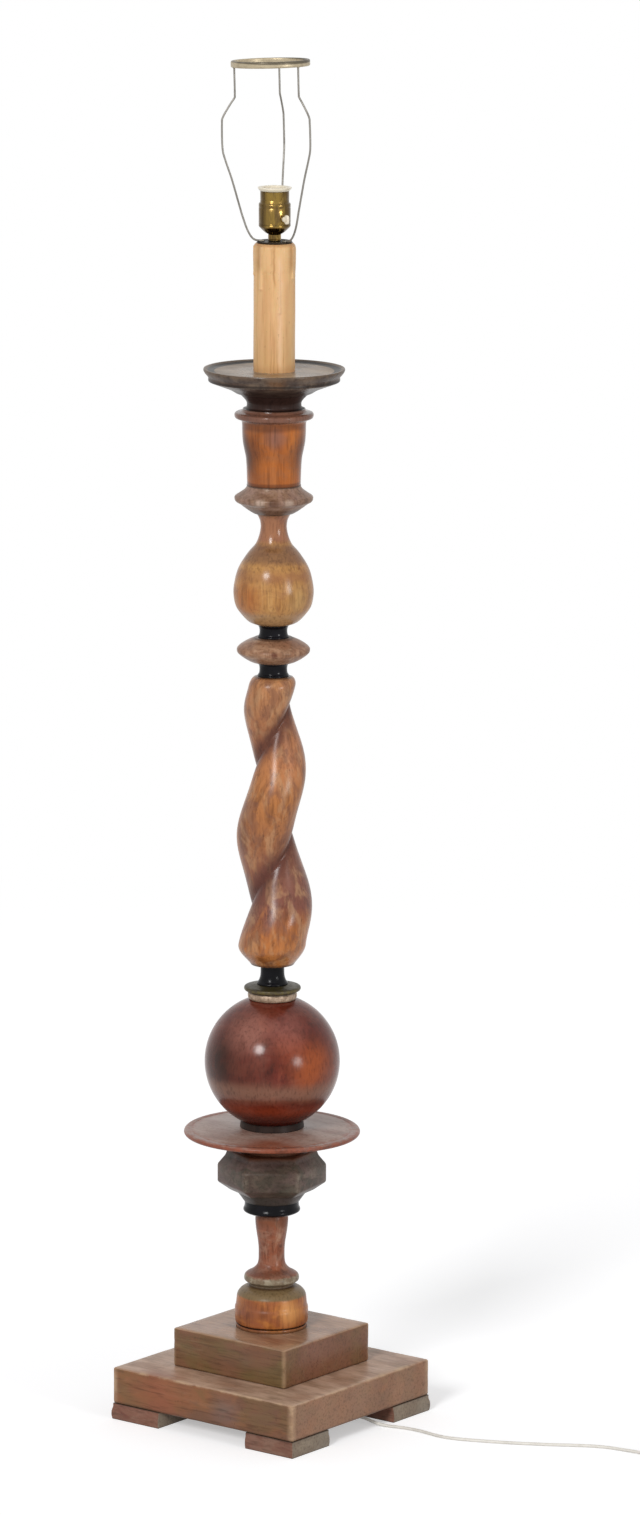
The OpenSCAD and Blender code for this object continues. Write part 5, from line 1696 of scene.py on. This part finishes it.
class LAMP_OT_carrier(bpy.types.Operator):
    """Bends the three wires and makes the plate, the ring and the solder"""
    bl_idname = "lamp.carrier"
    bl_label = "Shade carrier"

    def execute(self, context):
        plate_r, base, plate_top = reach("carrier_plate")
        thick = plate_top - base
        plate = lathe("candle_plate", [
            (BORE, base), (plate_r - 0.5*MM, base), (plate_r, base + 0.5*MM),
            (plate_r, plate_top - 0.6*MM), (plate_r - 0.6*MM, plate_top),
            (plate_r - 4*MM, plate_top),
            (plate_r - 4.5*MM, plate_top - 0.3*MM),
            (BORE, plate_top - 0.3*MM)], 72)
        settle(plate, "lamp",
               metal("browned_plate", "3a3129", "15110e", 0.42,
                     0.6, bump=0.3), "dark_steel", "carrier_plate")

        wire_r = sizes().wire_width/2
        tall, wide, t = CARRIER_TALL, CARRIER_WIDE, thick/MM
        foot_z = t + wire_r/MM - 0.3
        shape = [(14, foot_z), (plate_r/MM - 3, foot_z),
                 (plate_r/MM + 3, foot_z + 1), (plate_r/MM + 8, foot_z + 5)]
        shape += [(wide*a, tall*b) for a, b in (
            (0.55, 0.08), (0.62, 0.14), (0.72, 0.245), (0.83, 0.36),
            (0.95, 0.465), (1, 0.53), (1, 0.66))]
        shape += [(wide - 1.5, tall*0.7), (wide*0.83, tall*0.765),
                  (RING_MID + 0.8, tall*0.8), (RING_MID, tall*0.82),
                  (RING_MID, tall - RING_TALL + 0.3)]
        wire = metal("drawn_wire", "8f8b84", "625d56", 0.48, 0.4,
                     size=60, bump=0.05, shine=0.6)
        solder = metal("soft_solder", "a39c8e", "5e574a", 0.4, 0.6,
                       size=300, bump=0.3)
        beads = []
        for name, degrees in (("left", 235), ("right", 355), ("back", 115)):
            a = math.radians(degrees)
            path = []
            for r, z in spline(shape, 6):
                x, y, up = leaned((r*math.cos(a), r*math.sin(a), z), t)
                path.append((x*MM, y*MM, base + up*MM))
            piece = to_mesh(swept("wire_" + name, path, wire_r))
            settle(piece, "lamp", wire, "wire_steel", "carrier_wire_" + name)
            for i in (0, len(path) - 1):
                beads.append(self.blob(path[i], a, i == 0))
        settle(soft(joined(*beads), 60), "lamp", solder, "wire_steel")
        beads[0].name = "solder"
        self.ring(RING_MID*MM, base + tall*MM)
        return {"FINISHED"}

    @staticmethod
    def blob(at, angle, flat):
        """A drop of solder, drawn out along the wire."""
        rest()
        bpy.ops.mesh.primitive_uv_sphere_add(
            segments=24, ring_count=12, radius=2.1*MM, location=(0, 0, 0))
        drop = named("solder_drop")
        edit("FACE")
        bpy.ops.transform.resize(
            value=(1.7, 1.1, 0.62) if flat else (0.95, 0.95, 0.7),
            center_override=(0, 0, 0))
        done()
        for vertex in drop.data.vertices:
            vertex.co *= 1 + 0.13*noise.noise(vertex.co*700)
        place = Vector(at)
        if flat:
            place += Vector((math.cos(angle), math.sin(angle), 0))*2*MM
            place.z -= 0.4*MM
        drop.data.transform(Matrix.Translation(place)
                            @ Matrix.Rotation(angle, 4, "Z"))
        return drop

    @staticmethod
    def ring(middle, top):
        w, h = RING_WIDE*MM, RING_TALL*MM
        inner, low = middle - w/2, top - h
        outline = spline([
            (inner + 0.8*MM, low), (inner + w/2, low - 0.01*MM),
            (inner + w - 0.8*MM, low), (inner + w, low + 1.2*MM),
            (inner + w, low + h/2), (inner + w, top - 1.4*MM),
            (inner + w - 0.9*MM, top - 0.1*MM), (inner + w/2, top),
            (inner + 0.9*MM, top - 0.1*MM), (inner, top - 1.4*MM),
            (inner, low + h/2), (inner, low + 1.2*MM)], 3)
        ring = lathe("shade_ring", outline, 128, 50)
        ring.data.transform(leaning())
        f = Finish("dull_ring_brass")
        rub = f.noise(f.place(), 110, 5.0, 0.65)
        z = f.axis("Z")
        colour = f.mix(f.span(rub, 0.4, 0.66, 0.0, 0.6), "bcae92",
                       "968870")
        crown = f.span(z, top - 2.6*MM, top - 0.8*MM)
        colour = f.over(colour, crown, 0.8, "322c26")
        f.bump(rub, 0.08, 0.3*MM)
        settle(ring, "lamp", f.surface(
            Base_Color=colour, Metallic=0.5, Specular_IOR_Level=0.3,
            Roughness=f.span(rub, 0.3, 0.7, 0.34, 0.48)), "brass",
            "carrier_ring")


# ------------------------------------------------------------- lamp holder

KEY_TURN = math.radians(-20)


def aged_brass(name, low, high):
    """Brass that has gone brown in bands, with bright rubbed places, darker
    ends and painted shade down the left and right sides.
    """
    f = Finish(name)
    rub = f.noise(f.place((1, 1, 0.3)), 120, 5.0, 0.65, 0.4)
    drawn = f.noise(f.place((1, 1, 0.03)), 420, 3.0, 0.6)
    colour = f.mix(f.span(rub, 0.4, 0.66), tuple(colours().brass),
                   "6b5636")
    colour = f.stain(colour, drawn, 0.5, 0.72, 0.45, "4a3a22")
    # Darker towards both ends.
    darker_ends = f.sum("MAXIMUM", f.span(f.axis("Z"), low, low + 1.2*MM, 0.7, 0.0),
                 f.span(f.axis("Z"), high - 1.2*MM, high, 0.0, 0.7))
    colour = f.mix(darker_ends, colour, "2a2218")
    # Painted shade: darker down the left and right sides as seen.
    across = f.sum("ADD", f.along(RIGHT), f.span(rub, 0.3, 0.7, -2*MM, 2*MM))
    painted_side_shade = f.sum("MAXIMUM", f.span(across, -14*MM, -8*MM, 0.75, 0.0),
                    f.span(across, 8*MM, 13*MM, 0.0, 0.75))
    colour = f.mix(painted_side_shade, colour, "4c3c24")
    f.bump(drawn, 0.12, 0.2*MM)
    return f.surface(Base_Color=colour, Metallic=1.0,
                     Roughness=f.span(rub, 0.3, 0.7, 0.15, 0.32))


class LAMP_OT_holder(bpy.types.Operator):
    """Turns the lamp holder's cap, shell, card liner and cream rim"""
    bl_idname = "lamp.holder"
    bl_label = "Lamp holder"

    def execute(self, context):
        r, cap_foot, z1 = reach("holder_cap")
        cap_h = 19.5*MM

        def z(mm):
            return cap_foot + mm*MM

        tube = reach("lamp_tube")[0] + 0.1*MM
        inner = r - 1.0*MM
        cap = lathe("cap", [
            (tube, z(0)), (7.2*MM, z(0)), (7.7*MM, z(0.5)), (7.7*MM, z(1.6)),
            (7.3*MM, z(2)), (7.7*MM, z(2.4)), (7.7*MM, z(7.4)),
            (7.9*MM, z(8.1)), (8.8*MM, z(8.8)), (10.5*MM, z(9.5)),
            (13.2*MM, z(11.6)), (15.6*MM, z(14)), (17.4*MM, z(15.7)),
            (r - 0.5*MM, z(17)), (r - 0.1*MM, z(17.7)), (r, z(18.2)),
            (r, z(19.1)), (r - 0.3*MM, z(19.5)), (inner, z(19.5)),
            (inner, z1), (inner - 0.8*MM, z1), (inner - 0.8*MM, z(18.5)),
            (14.6*MM, z(14.8)), (9.5*MM, z(11.2)), (tube, z(11))], 96, 40)
        brass = aged_brass("aged_holder_brass", cap_foot, z1 + 0.04)
        settle(cap, "lamp", brass, "brass", "holder_cap")

        z0 = cap_foot + cap_h
        step = z0 + 26*MM
        top = reach("holder_shell")[2]
        wall = 0.8*MM
        neck = r - 1.8*MM
        shell = lathe("shell", [
            (r - wall, z0), (r - 0.2*MM, z0), (r, z0 + 0.3*MM),
            (r, z0 + 1.2*MM), (r - 0.35*MM, z0 + 1.7*MM), (r, z0 + 2.2*MM),
            (r, step - 6*MM), (r - 0.35*MM, step - 5.4*MM),
            (r, step - 4.8*MM), (r, step - 2*MM), (r - 0.2*MM, step - 1.2*MM),
            (r - 0.6*MM, step - 0.5*MM), (neck + 0.3*MM, step + 0.1*MM),
            (neck, step + 0.7*MM), (neck, step + 3*MM),
            (neck - 0.3*MM, step + 3.5*MM), (neck, step + 4*MM), (neck, top),
            (neck - wall, top), (neck - wall, step - 0.6*MM),
            (r - wall, step - 2*MM)], 96, 40)
        key_z = z0 + 8*MM
        boss = lying_rod(3.6*MM, r - 0.5*MM, r + 1.6*MM, KEY_TURN, key_z,
                         "boss", 48)
        bevelled(boss, 0.4*MM, 3)
        cut(shell, boss, operation="UNION")
        cut(shell, lying_rod(1.9*MM, 0.01, r + 0.01, KEY_TURN, key_z, "hole"))
        settle(soft(shell, 40), "lamp",
               aged_brass("aged_shell_brass", z0, top), "brass",
               "holder_shell")

        lr, l0, l1 = reach("holder_liner")
        liner = lathe("liner", [(lr - 0.6*MM, l0), (lr, l0),
                                (lr, l1 - 0.2*MM), (lr - 0.2*MM, l1),
                                (lr - 0.6*MM, l1)])
        settle(liner, "lamp", self.card(), "fibre", "holder_liner")

        rr, r0, r1 = reach("holder_rim")
        foot = r1 - 4.5*MM
        hole = 14.35*MM
        skirt = lr - 0.8*MM
        rim = lathe("cream_rim", spline([
            (hole, r0 + 0.1*MM), (hole, r0), (skirt, r0), (skirt, r0 + 0.1*MM),
            (skirt, foot), (neck, foot), (rr - 0.7*MM, foot + 2.3*MM),
            (rr - 0.1*MM, foot + 3.5*MM), (rr, foot + 3.9*MM),
            (rr - 0.5*MM, r1 - 0.02*MM), (rr - 1.2*MM, r1),
            (hole + 1.4*MM, r1), (hole + 0.5*MM, r1 - 0.3*MM),
            (hole, r1 - MM)], 3), 96, 40)
        settle(rim, "lamp",
               plastic("cream_rim_plastic", colours().ivory, "c9b896",
                       0.3, 0.35, 120), "cream_plastic", "holder_rim")
        return {"FINISHED"}

    @staticmethod
    def card():
        f = Finish("liner_card")
        fibre = f.noise(f.place((1, 1, 0.4)), 500, 4.0, 0.7)
        stain = f.noise(f.place(), 80, 3.0, 0.5)
        colour = f.mix(f.span(fibre, 0.35, 0.65), "cdbf9f",
                       "b5a480")
        colour = f.stain(colour, stain, 0.5, 0.75, 0.5, "8d7a58")
        f.bump(fibre, 0.3, 0.15*MM)
        return f.surface(Base_Color=colour, Roughness=0.8)


class LAMP_OT_socket(bpy.types.Operator):
    """Rolls the threaded shell and finishes what lies inside the holder"""
    bl_idname = "lamp.socket"
    bl_label = "Socket"

    def execute(self, context):
        wide, z0, z1 = reach("screw_shell")
        r = 26.7*MM/2
        outer = r + 0.35*MM
        shell = blank("threaded_shell", outer + 0.3*MM, r, z0 + 4.6*MM, z1, 72,
                      72, both=True)
        pitch = 3.6*MM
        for vertex in shell.data.vertices:
            co = vertex.co
            across = math.hypot(co.x, co.y)
            turn = math.atan2(co.y, co.x)/(2*math.pi)
            level = (co.z - z0)/pitch - turn
            wave = 0.5 + 0.5*math.cos(2*math.pi*level)
            inner = across < r + 0.2*MM
            target = r + 0.28*MM*wave + (0 if inner else 0.42*MM)
            co.x, co.y = co.x*target/across, co.y*target/across
        skirt = lathe("skirt", [
            (r + 0.6*MM, z0), (wide, z0), (wide, z0 + 0.8*MM),
            (r + 1.35*MM, z0 + 0.8*MM), (r + 1.35*MM, z0 + 4*MM),
            (r + 0.75*MM, z0 + 5.2*MM), (r, z0 + 4.4*MM),
            (r + 0.6*MM, z0 + 3.4*MM)], 72)
        joined(shell, skirt)
        settle(soft(shell, 50), "lamp",
               metal("thread_brass", "c2ab6e", "7d6a3c", 0.26,
                     0.4), "brass", "screw_shell")
        dress(metal("spring_brass", "c9ae68", "8a7440", 0.24, 0.3),
              "centre_contact")
        dress(self.porcelain(), "holder_body")
        dress(metal("terminal_brass", "b8a878", "6f6240", 0.3),
              "terminal_screws")
        dress(plastic("core_sleeves", "6e5c4a", "3c3228", 0.5),
              "core_wires")
        return {"FINISHED"}

    @staticmethod
    def porcelain():
        f = Finish("socket_porcelain")
        cloud = f.noise(f.place(), 90, 3.0, 0.5)
        specks = f.noise(f.place(), 700, 3.0, 0.7)
        colour = f.mix(f.span(cloud, 0.45, 0.7, 0.0, 0.5), "e6e2d8",
                       "d2cbbb")
        colour = f.stain(colour, specks, 0.68, 0.75, 0.5, "8d8270")
        f.bump(cloud, 0.08, 0.3*MM)
        return f.surface(Base_Color=colour, Specular_IOR_Level=0.5,
                         Roughness=f.span(cloud, 0.3, 0.7, 0.14, 0.26))


class LAMP_OT_key(bpy.types.Operator):
    """Makes the ivory switch key and finishes its spindle and cam"""
    bl_idname = "lamp.key"
    bl_label = "Switch key"

    def execute(self, context):
        z = (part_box("switch_key")[0].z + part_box("switch_key")[1].z)/2
        shell_r = 19*MM
        root = shell_r + 2.0*MM
        half, thick = 5.5*MM, 3.2*MM
        # The paddle, drawn flat: across the key and away from the holder.
        rest()
        bpy.ops.mesh.primitive_circle_add(
            vertices=40, radius=MM, fill_type="NGON",
            rotation=(math.pi/2, 0, 0))
        key = named("key")
        middle, length = 6.0*MM, 4.0*MM
        for vertex in key.data.vertices:
            a = math.atan2(vertex.co.z, vertex.co.x)
            c, s = math.cos(a), math.sin(a)
            wide = half if c > -0.2 else half*(1 - 0.5*(-c - 0.2))
            vertex.co.x = middle + length*math.copysign(abs(c)**0.72, c)
            vertex.co.z = wide*math.copysign(abs(s)**0.72, s)
            vertex.co.y = -thick/2
        edit("FACE")
        pull(0, thick, 0)
        done()
        cleaned(key, 1e-6)
        bevelled(key, 0.9*MM, 4, 50)
        key.data.transform(Matrix.Translation((root, 0, z)))
        hub = lying_rod(3*MM, root, root + 3*MM, 0, z, "hub", 40)
        bevelled(hub, 0.5*MM, 3, 50)
        cut(key, hub, operation="UNION")
        spindle_end = 23.05*MM
        cut(key, lying_rod(1.52*MM, root - 0.01, spindle_end, 0, z, "hole",
                           40))
        key.data.transform(Matrix.Rotation(KEY_TURN, 4, "Z"))
        settle(soft(cleaned(key, 1e-6), 40), "switch",
               plastic("ivory_key_plastic", colours().ivory, "bfa77c",
                       0.28, 0.5, 200), "ivory_key", "switch_key")
        dress(metal("spindle_brass", "a8925c", "6b5a36", 0.3),
              "key_spindle")
        dress(plastic("cam_plastic", "4d3a2c", "2a2019", 0.45),
              "switch_cam")
        return {"FINISHED"}


# ------------------------------------------------- tube, nuts and underside

class LAMP_OT_underside(bpy.types.Operator):
    """Finishes the tube, nuts and washers, the clamp and the strain relief"""
    bl_idname = "lamp.underside"
    bl_label = "Tube, clamp and relief"

    def execute(self, context):
        dress(metal("tube_steel", "9c978c", "5f5a50", 0.32, 0.5,
                    (1, 1, 0.05)), "lamp_tube", "base_washer", "pan_washer")
        dress(metal("nut_brass", "a38c58", "5f5032", 0.34, 0.5),
              "base_nut", "pan_nut")
        black = plastic("moulded_black", "222124", "3b3734", 0.42,
                        0.5, 120)
        dress(black, "cord_clamp")
        dress(bpy.data.materials["cord_flex"], "held_cord")

        # The strain relief, with the ribs that let it bend.
        r1, r0, length = 2.8*MM, 4.6*MM, 32*MM
        bore = 2.1*MM
        outline = [(bore, 0), (r0, 0), (r0, 2.4*MM)]
        for i in range(9):
            s = (3.2 + 3*i)*MM
            big = r0 + (r1 - r0)*(s/length)
            outline += [(big - 0.75*MM, s), (big - 0.75*MM, s + 0.7*MM),
                        (big - 0.03*MM, s + 1.2*MM),
                        (big - 0.12*MM, s + 2.4*MM)]
        outline += [(r1 - 0.4*MM, length), (bore, length)]
        relief = lathe("ribbed_relief", outline, 40, 30)
        turn = math.radians(17)
        reach_out, height = 76*MM, 10*MM
        at = Vector((math.cos(turn), math.sin(turn), 0))*reach_out
        at.z = height
        relief.data.transform(Matrix.Translation(at)
                              @ Matrix.Rotation(turn, 4, "Z")
                              @ Matrix.Rotation(math.pi/2, 4, "Y"))
        settle(relief, "lamp", black, "black_plastic", "strain_relief")
        return {"FINISHED"}


# ------------------------------------------------------------------ add-on

PIECES = (LAMP_OT_stage, LAMP_OT_cord, LAMP_OT_feet, LAMP_OT_plinths,
          LAMP_OT_base_turnings, LAMP_OT_knop, LAMP_OT_disc, LAMP_OT_ball,
          LAMP_OT_collars, LAMP_OT_twist, LAMP_OT_upper_turnings, LAMP_OT_cup,
          LAMP_OT_pan, LAMP_OT_candle, LAMP_OT_carrier, LAMP_OT_holder,
          LAMP_OT_socket, LAMP_OT_key, LAMP_OT_underside)


class LAMP_PT_builder(bpy.types.Panel):
    """Lists the sizes, the colours and the pieces in the order of making"""
    bl_idname = "LAMP_PT_builder"
    bl_label = "Candlestick floor lamp"
    bl_space_type = "VIEW_3D"
    bl_region_type = "UI"
    bl_category = "Lamp"

    def draw(self, context):
        for group in (context.scene.lamp_sizes, context.scene.lamp_colours):
            column = self.layout.column(align=True)
            for key in group.__annotations__:
                column.prop(group, key)
        for piece in PIECES:
            self.layout.operator(piece.bl_idname)


CLASSES = (LampSizes, LampColours, *PIECES, LAMP_PT_builder)


def register():
    for kind in CLASSES:
        bpy.utils.register_class(kind)
    bpy.types.Scene.lamp_sizes = bpy.props.PointerProperty(type=LampSizes)
    bpy.types.Scene.lamp_colours = bpy.props.PointerProperty(type=LampColours)


def unregister():
    del bpy.types.Scene.lamp_colours
    del bpy.types.Scene.lamp_sizes
    for kind in reversed(CLASSES):
        bpy.utils.unregister_class(kind)


def main():
    register()
    for piece in PIECES:
        name = piece.bl_idname.split(".")[1]
        getattr(bpy.ops.lamp, name)()
    rest()


if __name__ == "__main__":
    main()
